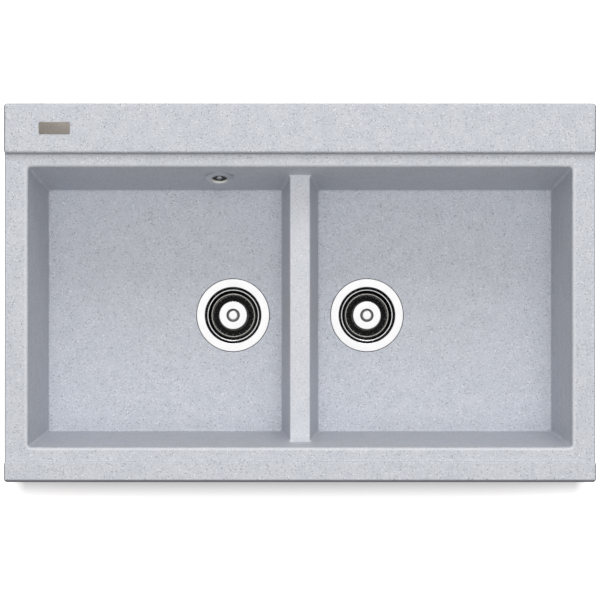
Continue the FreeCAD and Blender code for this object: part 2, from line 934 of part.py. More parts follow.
def trap_dip_tube():
    """Tube that hangs by its flange in the trap's inlet and reaches into the water."""
    top = trap_plate_top + dip_flange_thickness
    flange = disc(pipe_r, trap_plate_top, top)
    tube = disc(dip_tube_r, dip_tube_bottom, top)
    bore = disc(dip_tube_r - dip_tube_wall, dip_tube_bottom, top)
    solid = flange.fuse(tube).cut(bore)
    solid.translate(along_y * drain_y)
    return solid


def trap_cup():
    """Lower part of the bottle trap, screwed over the body."""
    inner_r = trap_r + pipe_gap
    collar_top = trap_bottom + trap_thread_length
    shelf = trap_bottom - trap_seal_height
    solid = turned(
        [
            (0, trap_cup_bottom, 0),
            (trap_cup_r - trap_cup_taper * 2, trap_cup_bottom, trap_cup_taper),
            (trap_cup_r - trap_cup_taper, shelf - trap_cup_wall, 0),
            (trap_cup_r, shelf - trap_cup_wall, trap_cup_wall / 4),
            (trap_cup_r, collar_top, trap_cup_wall / 4),
            (inner_r, collar_top, 0),
            (inner_r, shelf, 0),
            (trap_inner_r - trap_wall, shelf, 0),
            (trap_cup_r - trap_cup_taper * 2 - trap_cup_wall, trap_cup_bottom + trap_cup_wall, 0),
            (0, trap_cup_bottom + trap_cup_wall, 0),
        ]
    )
    solid.translate(along_y * drain_y)
    return solid


def trap_cup_seal():
    """Rubber ring between trap body and trap cup."""
    seal = ring(trap_inner_r, trap_r, trap_bottom - trap_seal_height, trap_bottom)
    seal.translate(along_y * drain_y)
    return seal


def trap_outlet_pipe():
    """Pipe from the trap towards the wall, with a bead that stops what slides over it."""
    start = FreeCAD.Vector(0, outlet_start_y, trap_side_z)
    outer = Part.makeCylinder(pipe_r, outlet_length, start, along_y)
    bore = Part.makeCylinder(pipe_r - pipe_wall, outlet_length, start, along_y)
    bead_y = trap_socket_y + washer_thickness + lip_thickness + outlet_bead_gap
    bead_r = pipe_r + outlet_bead_height
    bead = Part.makeCylinder(
        bead_r, outlet_bead_width, FreeCAD.Vector(0, bead_y, trap_side_z), along_y
    )
    return outer.fuse(bead).cut(bore)


# Overflow
def overflow_rosette():
    """Domed steel ring with a flared mouth, and spokes and a hub sunk in its sleeve."""
    tube_r = rosette_mouth_r + rosette_sleeve_wall
    rim = turned(
        [
            (rosette_mouth_r, -rosette_depth, 0),
            (tube_r, -rosette_depth, 0),
            (tube_r, 0, 0),
            (rosette_r, 0, 0),
            (rosette_r, rosette_height - rosette_sheet, rosette_edge_r),
            (rosette_mouth_r + rosette_flare, rosette_height, rosette_edge_r / 2),
            (rosette_mouth_r, 0, rosette_sheet / 4),
        ]
    )
    half = rosette_spoke_width / 2
    high = rosette_sheet - rosette_depth
    spoke = slab(0, tube_r - rosette_sleeve_wall / 2, -half, half, -rosette_depth, high)
    spoke.rotate(origin, up, full_turn / (rosette_spokes * 2))
    hub = disc(rosette_hub_r, -rosette_depth, high)
    hole = disc(overflow_screw_r + thread_gap, -rosette_depth - overrun, overrun)
    return along_overflow(rim.fuse(around(spoke, rosette_spokes) + [hub]).cut(hole))


def overflow_screw():
    """Screw through the rosette into the elbow's post."""
    low = rosette_sheet - rosette_depth
    head_top = low + overflow_screw_head_height
    head = disc(overflow_screw_head_r, low, head_top)
    head = rounded_where(head, overflow_screw_dome_r, lambda edge: at_height(edge, head_top))
    shaft = disc(overflow_screw_r, low - overflow_screw_length, low)
    half = drive_slot_width / 2
    slot = slab(
        -overflow_screw_head_r, overflow_screw_head_r, -half, half, head_top - drive_slot_depth, head_top
    )
    return along_overflow(head.fuse(shaft).cut(slot))


def overflow_gasket():
    """Rubber ring between the stone and the elbow."""
    return along_overflow(ring(overflow_throat_r, overflow_flange_r, elbow_front, -overflow_wall))


def elbow_outlet_point():
    """Where the elbow's outlet leaves its slanted axis."""
    return overflow_seat() + overflow_direction() * elbow_middle


def overflow_elbow():
    """Plastic housing behind the wall with its outlet straight down."""
    flange_low = elbow_front - elbow_flange_thickness
    flange = along_overflow(disc(overflow_flange_r, flange_low, elbow_front))
    shell = along_overflow(disc(elbow_r, elbow_back, elbow_front))
    inside = along_overflow(
        disc(elbow_r - elbow_wall, elbow_back + elbow_wall, elbow_front + overrun)
    )
    post_front = elbow_front - elbow_flange_thickness
    post = along_overflow(disc(elbow_post_r, elbow_back, post_front))
    screw_hole = along_overflow(
        disc(overflow_screw_r + thread_gap, elbow_back + elbow_wall, post_front + overrun)
    )
    middle = elbow_outlet_point()
    stub = Part.makeCylinder(hose_stub_r, elbow_stub_length, middle, -up)
    stub_bore = Part.makeCylinder(hose_stub_r - hose_stub_wall, elbow_stub_length, middle, -up)
    solid = flange.fuse([shell, stub]).cut(inside.fuse(stub_bore))
    return solid.fuse(post).cut(screw_hole)


def hose_direction():
    """Level direction from the left drain to the point below the overflow."""
    target = elbow_outlet_point()
    level = FreeCAD.Vector(target.x + drain_x, target.y - drain_y, 0)
    return level.normalize()


def hose_ends():
    """Upper end, bend corner and lower end of the overflow hose."""
    middle = elbow_outlet_point()
    top = middle - up * (elbow_stub_length - hose_grip)
    corner = FreeCAD.Vector(middle.x, middle.y, hose_z)
    start = FreeCAD.Vector(-drain_x, drain_y, hose_z) + hose_direction() * (cup_r + clip_end_gap)
    return top, corner, start


def overflow_hose():
    """Smooth hose from the elbow down to the left waste cup."""
    top, corner, start = hose_ends()
    bend_top = corner + up * hose_bend_r
    bend_end = corner - hose_direction() * hose_bend_r
    centre = bend_top + bend_end - corner
    bend_middle = centre + (corner - centre).normalize() * hose_bend_r
    edges = [
        Part.makeLine(top, bend_top),
        Part.Arc(bend_top, bend_middle, bend_end).toShape(),
        Part.makeLine(bend_end, start),
    ]
    path = Part.Wire(edges)
    loops = [Part.Wire(Part.makeCircle(r, top, up)) for r in (hose_r, hose_inner_r)]
    outer, bore = [path.makePipeShell([loop], True, False) for loop in loops]
    return outer.cut(bore)


def hose_clip(position, direction):
    """Steel band round the hose with the block of its screw."""
    low = -clip_width / 2
    high = clip_width / 2
    band = ring(hose_r + pipe_gap, clip_r, low, high)
    lug_half = clip_lug_length / 2
    lug = slab(
        hose_r + clip_thickness, hose_r + clip_lug_height, -lug_half, lug_half, low, high
    )
    clip = band.fuse(lug)
    if abs(direction.z) < same_height:
        clip.rotate(origin, up.cross(direction), quarter_turn)
    clip.translate(position)
    return clip


def hose_clips():
    """The two clips of the overflow hose."""
    ends = hose_ends()
    upper = ends[0] - up * (hose_grip / 2)
    lower = ends[-1] + hose_direction() * (hose_grip / 2)
    return Part.makeCompound([hose_clip(upper, up), hose_clip(lower, hose_direction())])


# Mounting clamps
def clamp_arm(x, y, side):
    """Steel arm with a turned-up toe, stowed along the rim."""
    half = arm_width / 2
    corners = [
        (-half, -half, half - seat_gap),
        (arm_reach, -half, arm_toe_r),
        (arm_reach, half, arm_toe_r),
        (-half, half, half - seat_gap),
    ]
    plate = upright(corners, arm_bottom, arm_top)
    toe_half = half - arm_toe_r
    toe_x = arm_reach - arm_thickness
    toe = slab(toe_x, arm_reach, -toe_half, toe_half, arm_bottom, -worktop_thickness)
    hole = disc(clamp_screw_r + arm_gap, arm_bottom, arm_top)
    arm = plate.fuse(toe).cut(hole)
    if side < 0:
        arm.rotate(origin, up, full_turn / 2)
    arm.translate(FreeCAD.Vector(x, y, 0))
    return arm


def clamp_screw(x, y):
    """Long screw with a slotted head below the arm."""
    bottom = clamp_head_top - clamp_head_height
    head = disc(clamp_head_r, bottom, clamp_head_top)
    shaft = disc(clamp_screw_r, bottom, boss_bottom + clamp_insert_length - clamp_tip_gap)
    half = drive_slot_width / 2
    slot = slab(-clamp_head_r, clamp_head_r, -half, half, bottom, bottom + drive_slot_depth)
    screw = head.fuse(shaft).cut(slot)
    screw.translate(FreeCAD.Vector(x, y, 0))
    return screw


def clamp_insert(x, y):
    """Brass thread insert in the stone."""
    insert = ring(
        clamp_screw_r + thread_gap, clamp_insert_r, boss_bottom, boss_bottom + clamp_insert_length
    )
    insert.translate(FreeCAD.Vector(x, y, 0))
    return insert


def at_drain(shape, side):
    """Carries a strainer piece from its own frame to the left or right drain."""
    return shape.translated(FreeCAD.Vector(side * drain_x, drain_y, floor_z))


def all_pieces():
    """Every piece by its name."""
    pieces = {
        "sink_body": sink_body(),
        "deck_badge": deck_badge(),
        "rim_seal": rim_seal(),
        "overflow_rosette": overflow_rosette(),
        "overflow_screw": overflow_screw(),
        "overflow_gasket": overflow_gasket(),
        "overflow_elbow": overflow_elbow(),
        "overflow_hose": overflow_hose(),
        "hose_clips": hose_clips(),
        "waste_tee": waste_tee(),
        "trap_body": trap_body(),
        "trap_dip_tube": trap_dip_tube(),
        "trap_cup": trap_cup(),
        "trap_cup_seal": trap_cup_seal(),
        "trap_outlet_pipe": trap_outlet_pipe(),
    }
    joints = slip_joints()
    pieces["slip_nuts"] = Part.makeCompound([slip_nut(place, way) for place, way in joints])
    pieces["slip_washers"] = Part.makeCompound([slip_washer(place, way) for place, way in joints])
    strainer = {
        "strainer_well": strainer_well(),
        "flange_gasket": flange_gasket(),
        "centre_screw": centre_screw(),
        "basket_cup": basket_cup(),
        "basket_cap": basket_cap(),
        "basket_sleeve": basket_sleeve(),
        "basket_stem": basket_stem(),
        "basket_knob": basket_knob(),
        "basket_seal": basket_seal(),
        "cup_gasket": cup_gasket(),
        "cup_nut": cup_nut(),
    }
    for side_name, side in (("left", -1), ("right", 1)):
        for name, shape in strainer.items():
            pieces[f"{side_name}_{name}"] = at_drain(shape, side)
        pieces[f"{side_name}_waste_cup"] = at_drain(waste_cup(side), side)
    rows = clamp_rows()
    screws = []
    inserts = []
    for name, x, y, side, _ in rows:
        pieces[name] = clamp_arm(x, y, side)
        screws.append(clamp_screw(x, y))
        inserts.append(clamp_insert(x, y))
    pieces["clamp_screws"] = Part.makeCompound(screws)
    pieces["clamp_inserts"] = Part.makeCompound(inserts)
    return pieces


os.makedirs("parts", exist_ok=True)
for piece_name, piece in all_pieces().items():
    piece.exportStep(f"parts/{piece_name}.step")
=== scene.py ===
"""Looks of a double bowl kitchen sink of granite composite, seen from straight above.

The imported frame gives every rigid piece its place. Each sub-assembly below is a class that holds
its sizes in millimetres, builds its meshes in the row frame and dresses them in real finishes.
"""

import logging  # noqa: E402
import math  # noqa: E402
from dataclasses import dataclass  # noqa: E402
from enum import Enum  # noqa: E402
from typing import Any, Callable, Iterable, Sequence  # noqa: E402

import bmesh  # noqa: E402
import bpy  # noqa: E402
from mathutils import Matrix, Vector  # noqa: E402


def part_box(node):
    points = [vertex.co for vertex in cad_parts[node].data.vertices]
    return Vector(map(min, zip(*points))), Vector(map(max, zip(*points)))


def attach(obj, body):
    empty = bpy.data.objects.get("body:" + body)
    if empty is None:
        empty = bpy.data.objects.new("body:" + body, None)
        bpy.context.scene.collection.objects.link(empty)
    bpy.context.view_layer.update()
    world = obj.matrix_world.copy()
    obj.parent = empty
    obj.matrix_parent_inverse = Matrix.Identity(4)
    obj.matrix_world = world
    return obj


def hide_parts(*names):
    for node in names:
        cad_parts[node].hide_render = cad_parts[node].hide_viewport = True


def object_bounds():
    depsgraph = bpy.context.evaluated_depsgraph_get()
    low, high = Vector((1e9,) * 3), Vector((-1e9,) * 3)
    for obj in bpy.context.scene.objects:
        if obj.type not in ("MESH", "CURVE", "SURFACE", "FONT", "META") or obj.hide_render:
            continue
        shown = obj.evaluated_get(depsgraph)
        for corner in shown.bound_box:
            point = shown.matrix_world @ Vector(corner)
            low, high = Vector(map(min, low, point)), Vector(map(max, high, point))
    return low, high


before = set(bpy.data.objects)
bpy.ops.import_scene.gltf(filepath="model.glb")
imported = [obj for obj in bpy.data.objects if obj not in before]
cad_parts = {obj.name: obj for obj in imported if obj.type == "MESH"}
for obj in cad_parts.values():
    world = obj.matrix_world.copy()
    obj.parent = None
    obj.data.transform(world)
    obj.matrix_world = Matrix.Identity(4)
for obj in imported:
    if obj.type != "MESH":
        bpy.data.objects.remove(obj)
frame_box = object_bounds()

Piece = bpy.types.Object
Socket = bpy.types.NodeSocket
Corner = tuple[float, float, float]
Point = tuple[float, float]
Inputs = dict[str | int, Any] | Sequence[Any]

LOG = logging.getLogger("granite_sink")
MM = 0.001
# Points nearer than this, in metres, are one point.
NEAR = 1e-6
# Angle in degrees above which an edge stays sharp.
CREASE = 32.0
STILL = Matrix.Identity(4)
# Middle of each drain and height of the bowls' floor, in mm.
DRAIN_X, DRAIN_Y, FLOOR_Z = 103.0, -27.7, -190.0
MAP, MATH, MIX = "ShaderNodeMapRange", "ShaderNodeMath", "ShaderNodeMix"
NOISE, SPOT = "ShaderNodeTexNoise", "ShaderNodeTexCoord"


class Part(Enum):
    """A choice whose label is written as in the names of nodes and bodies."""

    @property
    def label(self) -> str:
        """Name in small letters."""
        return self.name.lower()


class Side(Part):
    """The two bowls, by the sign of their X."""

    LEFT = -1
    RIGHT = 1


class Row(Part):
    """The two rows of clamps, by the sign of their Y."""

    BACK = 1
    FRONT = -1


# Small tools


def linear(code: str) -> tuple[float, float, float, float]:
    """Turns an sRGB hex colour to linear light.

    Args:
        code: Colour such as "#C9CDD5".

    Returns:
        Red, green and blue in linear light, and an alpha of one.
    """
    shares = [int(code[start : start + 2], 16) / 255 for start in (1, 3, 5)]
    lit = [s / 12.92 if s <= 0.04045 else ((s + 0.055) / 1.055) ** 2.4 for s in shares]
    return lit[0], lit[1], lit[2], 1.0


def fine(size: float) -> float:
    """Scale of a pattern whose marks are this many mm wide."""
    return 1 / (size * MM)


def placed(name: str, data: bpy.types.ID) -> Piece:
    """Puts data in the scene.

    Args:
        name: Name of the object.
        data: Mesh, curve, camera or light.

    Returns:
        The object, at the origin.
    """
    made = bpy.data.objects.new(name, data)
    bpy.context.scene.collection.objects.link(made)
    return made


def at(x: float = 0.0, y: float = 0.0, z: float = 0.0, way: Vector | None = None) -> Matrix:
    """Matrix that carries a piece about +Z to a place, facing a way.

    Args:
        x: Place along X in mm.
        y: Place along Y in mm.
        z: Height in mm.
        way: Direction that the piece's own +Z ends up in, or none to leave it upright.

    Returns:
        The matrix in metres.
    """
    turn = STILL
    if way is not None:
        turn = Vector((0, 0, 1)).rotation_difference(way).to_matrix().to_4x4()
    return Matrix.Translation(Vector((x, y, z)) * MM) @ turn


def drain_place(side: Side) -> Matrix:
    """Frame of a drain, with its middle on the bowl's floor."""
    return at(side.value * DRAIN_X, DRAIN_Y, FLOOR_Z)


def rectangle(
    x_low: float, x_high: float, y_low: float, y_high: float, *radii: float
) -> list[Corner]:
    """Corners of a rectangle, in a plan or across a turned ring.

    Args:
        x_low: Least value along the first axis, in mm.
        x_high: Greatest value along it.
        y_low: Least value along the second axis.
        y_high: Greatest value along it.
        *radii: No radius, one for all corners, or four from the lowest corner on.

    Returns:
        Corners with their radii.
    """
    spots = [(x_low, y_low), (x_high, y_low), (x_high, y_high), (x_low, y_high)]
    rounds = radii if len(radii) == 4 else (radii or (0.0,)) * 4
    return [(x, y, radius) for (x, y), radius in zip(spots, rounds)]


def rounded(corners: Sequence[Corner], steps: int = 5) -> list[Point]:
    """Rounds the corners of a closed outline.

    Args:
        corners: Corners (u, v, radius) in mm, in order.
        steps: Chords in each rounded corner.

    Returns:
        Points of the outline in mm.
    """
    points: list[Point] = []
    for index, (u, v, radius) in enumerate(corners):
        here = Vector((u, v))
        if radius <= 0:
            points.append((u, v))
            continue
        back = (Vector(corners[index - 1][:2]) - here).normalized()
        ahead = (Vector(corners[(index + 1) % len(corners)][:2]) - here).normalized()
        half = back.angle(ahead) / 2
        centre = here + (back + ahead).normalized() * (radius / math.sin(half))
        start = here + back * (radius / math.tan(half)) - centre
        sweep = math.pi - 2 * half
        if start.x * (ahead.y - back.y) - start.y * (ahead.x - back.x) < 0:
            sweep = -sweep
        for step in range(steps + 1):
            spun = Matrix.Rotation(sweep * step / steps, 2) @ start
            points.append((centre.x + spun.x, centre.y + spun.y))
    return points


def smooth(data: bpy.types.Mesh, crease: float = CREASE) -> None:
    """Shades a mesh smooth, up to its creases."""
    data.shade_smooth()
    data.set_sharp_from_angle(angle=math.radians(crease))


def to_object(name: str, mesh: bmesh.types.BMesh, crease: float = CREASE) -> Piece:
    """Closes a bmesh into an object with smooth faces and sharp creases.

    Args:
        name: Name of the piece.
        mesh: The shape in metres. It is freed.
        crease: Angle in degrees above which an edge stays sharp.

    Returns:
        The object, at the origin.
    """
    bmesh.ops.remove_doubles(mesh, verts=mesh.verts, dist=NEAR)
    bmesh.ops.recalc_face_normals(mesh, faces=mesh.faces)
    data = bpy.data.meshes.new(name)
    mesh.to_mesh(data)
    mesh.free()
    smooth(data, crease)
    return placed(name, data)


def join_rings(
    mesh: bmesh.types.BMesh,
    lower: Sequence[bmesh.types.BMVert],
    upper: Sequence[bmesh.types.BMVert],
) -> None:
    """Closes the gap between two rings of equally many points.

    Args:
        mesh: Mesh that gets the faces.
        lower: First ring.
        upper: Second ring.
    """
    for index in range(len(lower)):
        after = (index + 1) % len(lower)
        mesh.faces.new([lower[index], lower[after], upper[after], upper[index]])


def turned(
    name: str,
    corners: Sequence[Corner],
    place: Matrix = STILL,
    steps: int = 96,
    bend: int = 5,
) -> Piece:
    """Turns a closed outline about Z, with a UV map in metres that follows the lathe.

    Args:
        name: Name of the piece.
        corners: Outline (radius, height, corner radius) in mm.
        place: Matrix that carries the piece to its place.
        steps: Steps round the axis.
        bend: Chords in each rounded corner.

    Returns:
        The turned piece.
    """
    outline = rounded(corners, bend)
    mesh = bmesh.new()
    map_layer = mesh.loops.layers.uv.new("turning")
    circles = []
    for radius, height in outline:
        ring = []
        for step in range(1 if radius < NEAR else steps):
            angle = math.tau * step / steps
            spot = Vector((radius * math.cos(angle), radius * math.sin(angle), height))
            ring.append(mesh.verts.new(place @ (spot * MM)))
        circles.append(ring)
    length = 0.0
    for index, (radius, height) in enumerate(outline):
        following = (index + 1) % len(outline)
        next_radius, next_height = outline[following]
        run = math.hypot(next_radius - radius, next_height - height)
        lower, upper = circles[index], circles[following]
        for step in range(steps if len(lower) > 1 or len(upper) > 1 else 0):
            spots = [
                (lower, step, radius, length),
                (lower, step + 1, radius, length),
                (upper, step + 1, next_radius, length + run),
                (upper, step, next_radius, length + run),
            ]
            if len(lower) == 1:
                spots.pop(1)
            elif len(upper) == 1:
                spots.pop(2)
            face = mesh.faces.new([ring[number % len(ring)] for ring, number, _, _ in spots])
            for loop, (_, number, around, along) in zip(face.loops, spots):
                angle = math.tau * number / steps
                loop[map_layer].uv = (angle * max(around, 1.0) * MM, along * MM)
        length += run
    return to_object(name, mesh)


def prism(
    name: str,
    corners: Sequence[Corner],
    low: float,
    high: float,
    place: Matrix = STILL,
    bend: int = 5,
) -> Piece:
    """Upright prism over a plan outline.

    Args:
        name: Name of the piece.
        corners: Outline (x, y, corner radius) in mm.
        low: Lower height in mm.
        high: Upper height in mm.
        place: Matrix that carries the piece to its place.
        bend: Chords in each rounded corner.

    Returns:
        The prism.
    """
    outline = rounded(corners, bend)
    mesh = bmesh.new()
    floor, roof = (
        [mesh.verts.new(place @ (Vector((u, v, level)) * MM)) for u, v in outline]
        for level in (low, high)
    )
    mesh.faces.new(floor[::-1])
    mesh.faces.new(roof)
    join_rings(mesh, floor, roof)
    return to_object(name, mesh)


def plain(piece: Piece) -> Piece:
    """Replaces a piece by the plain mesh that its modifiers give.

    Args:
        piece: Mesh or curve object with live modifiers. It is removed.

    Returns:
        A mesh object of the same name, without modifiers.
    """
    name = piece.name
    graph = bpy.context.evaluated_depsgraph_get()
    data = bpy.data.meshes.new_from_object(piece.evaluated_get(graph))
    bpy.data.objects.remove(piece)
    data.name = name
    smooth(data)
    return placed(name, data)


def softened(piece: Piece, width: float, segments: int = 2) -> Piece:
    """Bevels the sharp edges of a piece.

    Args:
        piece: Piece to soften.
        width: Width of the bevel in mm.
        segments: Steps across the bevel.

    Returns:
        The softened piece as a plain mesh.
    """
    bevel = piece.modifiers.new("soft edge", "BEVEL")
    bevel.width = width * MM
    bevel.segments = segments
    bevel.limit_method = "ANGLE"
    bevel.angle_limit = math.radians(40.0)
    return plain(piece)


def united(name: str, parts: Iterable[Piece], place: Matrix = STILL) -> Piece:
    """Gathers several meshes in one piece.

    Args:
        name: Name of the new piece.
        parts: Mesh objects. They are removed.
        place: Matrix that carries them together to their place.

    Returns:
        One object with all their faces, creases and UV maps.
    """
    gathered = bmesh.new()
    for part in parts:
        gathered.from_mesh(part.data)
        bpy.data.objects.remove(part)
    gathered.transform(place)
    data = bpy.data.meshes.new(name)
    gathered.to_mesh(data)
    gathered.free()
    return placed(name, data)


def cut(piece: Piece, cutter: Piece) -> Piece:
    """Cuts one piece out of another.

    Args:
        piece: Piece that stays.
        cutter: Closed piece whose room is taken out. It is removed.

    Returns:
        The cut piece as a plain mesh.
    """
    modifier = piece.modifiers.new("cut", "BOOLEAN")
    modifier.operation = "DIFFERENCE"
    modifier.solver = "EXACT"
    modifier.object = cutter
    done = plain(piece)
    bpy.data.objects.remove(cutter)
    return done


def smoothed_copy(name: str, node: str) -> Piece:
    """Copies a frame node, joins its loose triangles and smooths its round faces.

    Args:
        name: Name of the new piece.
        node: Node whose shape is copied.

    Returns:
        The smooth copy.
    """
    mesh = bmesh.new()
    mesh.from_mesh(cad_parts[node].data)
    bmesh.ops.remove_doubles(mesh, verts=mesh.verts, dist=NEAR)
    flat = math.radians(0.05)
    bmesh.ops.dissolve_limit(mesh, angle_limit=flat, verts=mesh.verts, edges=mesh.edges)
    made = to_object(name, mesh, 30.0)
    weighted = made.modifiers.new("flat faces stay flat", "WEIGHTED_NORMAL")
    weighted.keep_sharp = True
    weighted.weight = 100
    return made


# Node trees


class Net:
    """A node tree that is filled one node at a time."""

    def __init__(self, tree: bpy.types.NodeTree) -> None:
        """Takes the tree to fill."""
        self.tree = tree

    def add(
        self, kind: str, inputs: Inputs = (), give: int | str = 0, **settings: Any
    ) -> Socket | None:
        """Adds a node with its settings, input values and links.

        Args:
            kind: Type name of the node.
            inputs: What its inputs get, in their order or by name or number. That is a socket to
                link, a hex code for a colour, or a plain value.
            give: Name or number of the output to hand back.
            **settings: Properties of the node itself.

        Returns:
            The output, or none from a node that ends the tree.
        """
        node = self.tree.nodes.new(kind)
        for name, value in settings.items():
            setattr(node, name, value)
        for key, value in inputs.items() if isinstance(inputs, dict) else enumerate(inputs):
            if isinstance(value, Socket):
                self.tree.links.new(value, node.inputs[key])
            else:
                node.inputs[key].default_value = linear(value) if isinstance(value, str) else value
        return node.outputs[give] if node.outputs else None


class Program(Net):
    """A geometry node tree with named inputs, run on an object and turned to a plain mesh."""

    def __init__(self, name: str, **inputs: float) -> None:
        """Starts the tree.

        Args:
            name: Name of the tree.
            **inputs: Default value of each named input, with _ for a space.
        """
        super().__init__(bpy.data.node_groups.new(name, "GeometryNodeTree"))
        face = self.tree.interface
        face.new_socket("Geometry", in_out="INPUT", socket_type="NodeSocketGeometry")
        for label, value in inputs.items():
            kind = "NodeSocketInt" if isinstance(value, int) else "NodeSocketFloat"
            made = face.new_socket(label.replace("_", " "), in_out="INPUT", socket_type=kind)
            made.default_value = value
        face.new_socket("Finish", in_out="INPUT", socket_type="NodeSocketMaterial")
        face.new_socket("Geometry", in_out="OUTPUT", socket_type="NodeSocketGeometry")
        self.start = self.add("NodeGroupInput").node.outputs

    def close(self, geometry: Socket) -> "Program":
        """Ends the tree in real geometry with its finish.

        Args:
            geometry: Socket with the shape.

        Returns:
            The program, ready to run.
        """
        for kind, more in (
            ("GeometryNodeRealizeInstances", {}),
            ("GeometryNodeMergeByDistance", {"Distance": NEAR}),
            ("GeometryNodeSetMaterial", {"Material": self.start["Finish"]}),
            ("NodeGroupOutput", {}),
        ):
            geometry = self.add(kind, {"Geometry": geometry, **more})
        return self

    def run(self, piece: Piece, **values: float) -> Piece:
        """Runs the program on a piece.

        Args:
            piece: Object whose geometry goes in. It is removed.
            **values: Values of the named inputs, with _ for a space.

        Returns:
            The result as a plain mesh object.
        """
        modifier = piece.modifiers.new(self.tree.name, "NODES")
        modifier.node_group = self.tree
        for item in self.tree.interface.items_tree:
            key = item.name.replace(" ", "_")
            if item.in_out == "INPUT" and key in values:
                modifier[item.identifier] = values[key]
        return plain(piece)


def ring_program() -> Program:
    """Program that repeats a shape at even steps about Z, from a first angle.

    Returns:
        Program with the inputs Count and First angle, in radians.
    """
    made = Program("copies round an axis", Count=12, First_angle=0.0)
    points = made.add("GeometryNodePoints", {"Count": made.start["Count"]})
    index = made.add("GeometryNodeInputIndex")
    step = made.add(MATH, (index, made.start["Count"]), operation="DIVIDE")
    angle = made.add(MATH, (step, math.tau), operation="MULTIPLY")
    angle = made.add(MATH, (angle, made.start["First angle"]), operation="ADD")
    turn = made.add("FunctionNodeEulerToRotation", (made.add("ShaderNodeCombineXYZ", {2: angle}),))
    copies = made.add(
        "GeometryNodeInstanceOnPoints",
        {"Points": points, "Instance": made.start["Geometry"], "Rotation": turn},
    )
    return made.close(copies)


def thread_program() -> Program:
    """Program that winds a screw thread above each point of a mesh.

    Returns:
        Program with the inputs Radius, Pitch, Length and Depth, in metres.
    """
    made = Program("screw threads", Radius=0.0025, Pitch=0.0008, Length=0.02, Depth=0.0003)
    start = made.start
    spiral = made.add(
        "GeometryNodeCurveSpiral",
        {
            "Resolution": 20,
            "Rotations": made.add(MATH, (start["Length"], start["Pitch"]), operation="DIVIDE"),
            "Start Radius": start["Radius"],
            "End Radius": start["Radius"],
            "Height": start["Length"],
        },
    )
    crest = made.add(
        "GeometryNodeCurvePrimitiveCircle", {"Resolution": 4, "Radius": start["Depth"]}
    )
    wound = made.add(
        "GeometryNodeCurveToMesh", {"Curve": spiral, "Profile Curve": crest, "Fill Caps": True}
    )
    copies = made.add(
        "GeometryNodeInstanceOnPoints", {"Points": start["Geometry"], "Instance": wound}
    )
    return made.close(copies)


def hose_program() -> Program:
    """Program that draws a corrugated hose along a path, with plain cuffs at its ends.

    Returns:
        Program with the inputs Radius, Wave, Pitch, Cuff and Bore, in metres.
    """
    made = Program(
        "corrugated hose", Radius=0.013, Wave=0.001, Pitch=0.004, Cuff=0.02, Bore=0.0118
    )
    start = made.start
    step = made.add(MATH, (start["Pitch"], 8.0), operation="DIVIDE")
    fine_curve = made.add(
        "GeometryNodeResampleCurve", {"Curve": start["Geometry"], "Length": step}, mode="LENGTH"
    )
    along = made.add("GeometryNodeSplineParameter", give="Length")
    whole = made.add("GeometryNodeSplineLength", give="Length")
    to_end = made.add(MATH, (whole, along), operation="SUBTRACT")
    nearest = made.add(MATH, (along, to_end), operation="MINIMUM")
    past_cuff = made.add(MATH, (nearest, start["Cuff"]), operation="GREATER_THAN")
    waves = made.add(MATH, (along, start["Pitch"]), operation="DIVIDE")
    phase = made.add(MATH, (waves, math.tau), operation="MULTIPLY")
    swing = made.add(MATH, (phase,), operation="SINE")
    for factor in (start["Wave"], past_cuff):
        swing = made.add(MATH, (swing, factor), operation="MULTIPLY")
    radius = made.add(MATH, (start["Radius"], swing), operation="ADD")
    ring = made.add("GeometryNodeCurvePrimitiveCircle", {"Resolution": 40, "Radius": 1.0})
    skin, inside = (
        made.add(
            "GeometryNodeCurveToMesh",
            {"Curve": fine_curve, "Profile Curve": ring, "Scale": scale},
        )
        for scale in (radius, start["Bore"])
    )
    both = made.add("GeometryNodeJoinGeometry", (made.add("GeometryNodeFlipFaces", (inside,)),))
    made.tree.links.new(skin, both.node.inputs[0])
    return made.close(both)


# Finishes


@dataclass(frozen=True)
class Finish:
    """A real finish: what the piece is made of and how its surface was made."""

    name: str
    slot: str

    def material(self) -> bpy.types.Material:
        """Gives the material, which is made on its first use.

        Returns:
            The material with its whole tree.
        """
        made = bpy.data.materials.get(self.name)
        if made is None:
            made = bpy.data.materials.new(self.name)
            made.use_nodes = True
            made.node_tree.nodes.clear()
            net = Net(made.node_tree)
            surface = net.add("ShaderNodeBsdfPrincipled", self.dress(net))
            net.add("ShaderNodeOutputMaterial", {"Surface": surface})
        return made

    def dress(self, net: Net) -> dict[str, Any]:
        """Adds the finish's own nodes and gives what goes into the shader."""
        raise NotImplementedError

    def share(self, net: Net, *limits: tuple[Socket, float, float, float, float]) -> Socket:
        """Share of an effect that several limits leave, each clamped at its ends.

        Args:
            net: Tree of the material.
            *limits: A socket, the two values between which it counts, and what these become.

        Returns:
            Socket with the product of what the limits give.
        """
        whole = None
        for limit in limits:
            here = net.add(MAP, limit)
            whole = net.add(MATH, (whole, here), operation="MULTIPLY") if whole else here
        return whole

    def touch(
        self, net: Net, grain: Socket, span: Point, rough: Point, depth_mm: float
    ) -> dict[str, Any]:
        """Gloss and fine relief that follow one pattern.

        Args:
            net: Tree of the material.
            grain: Socket with the pattern.
            span: The two pattern values between which the gloss changes.
            rough: Roughness at these two.
            depth_mm: Depth from the relief's lowest to its highest point.

        Returns:
            What goes into the shader's inputs.
        """
        bump = {"Strength": 1.0, "Distance": depth_mm * MM, "Height": grain}
        return {
            "Roughness": net.add(MAP, (grain, *span, *rough)),
            "Normal": net.add("ShaderNodeBump", bump),
        }


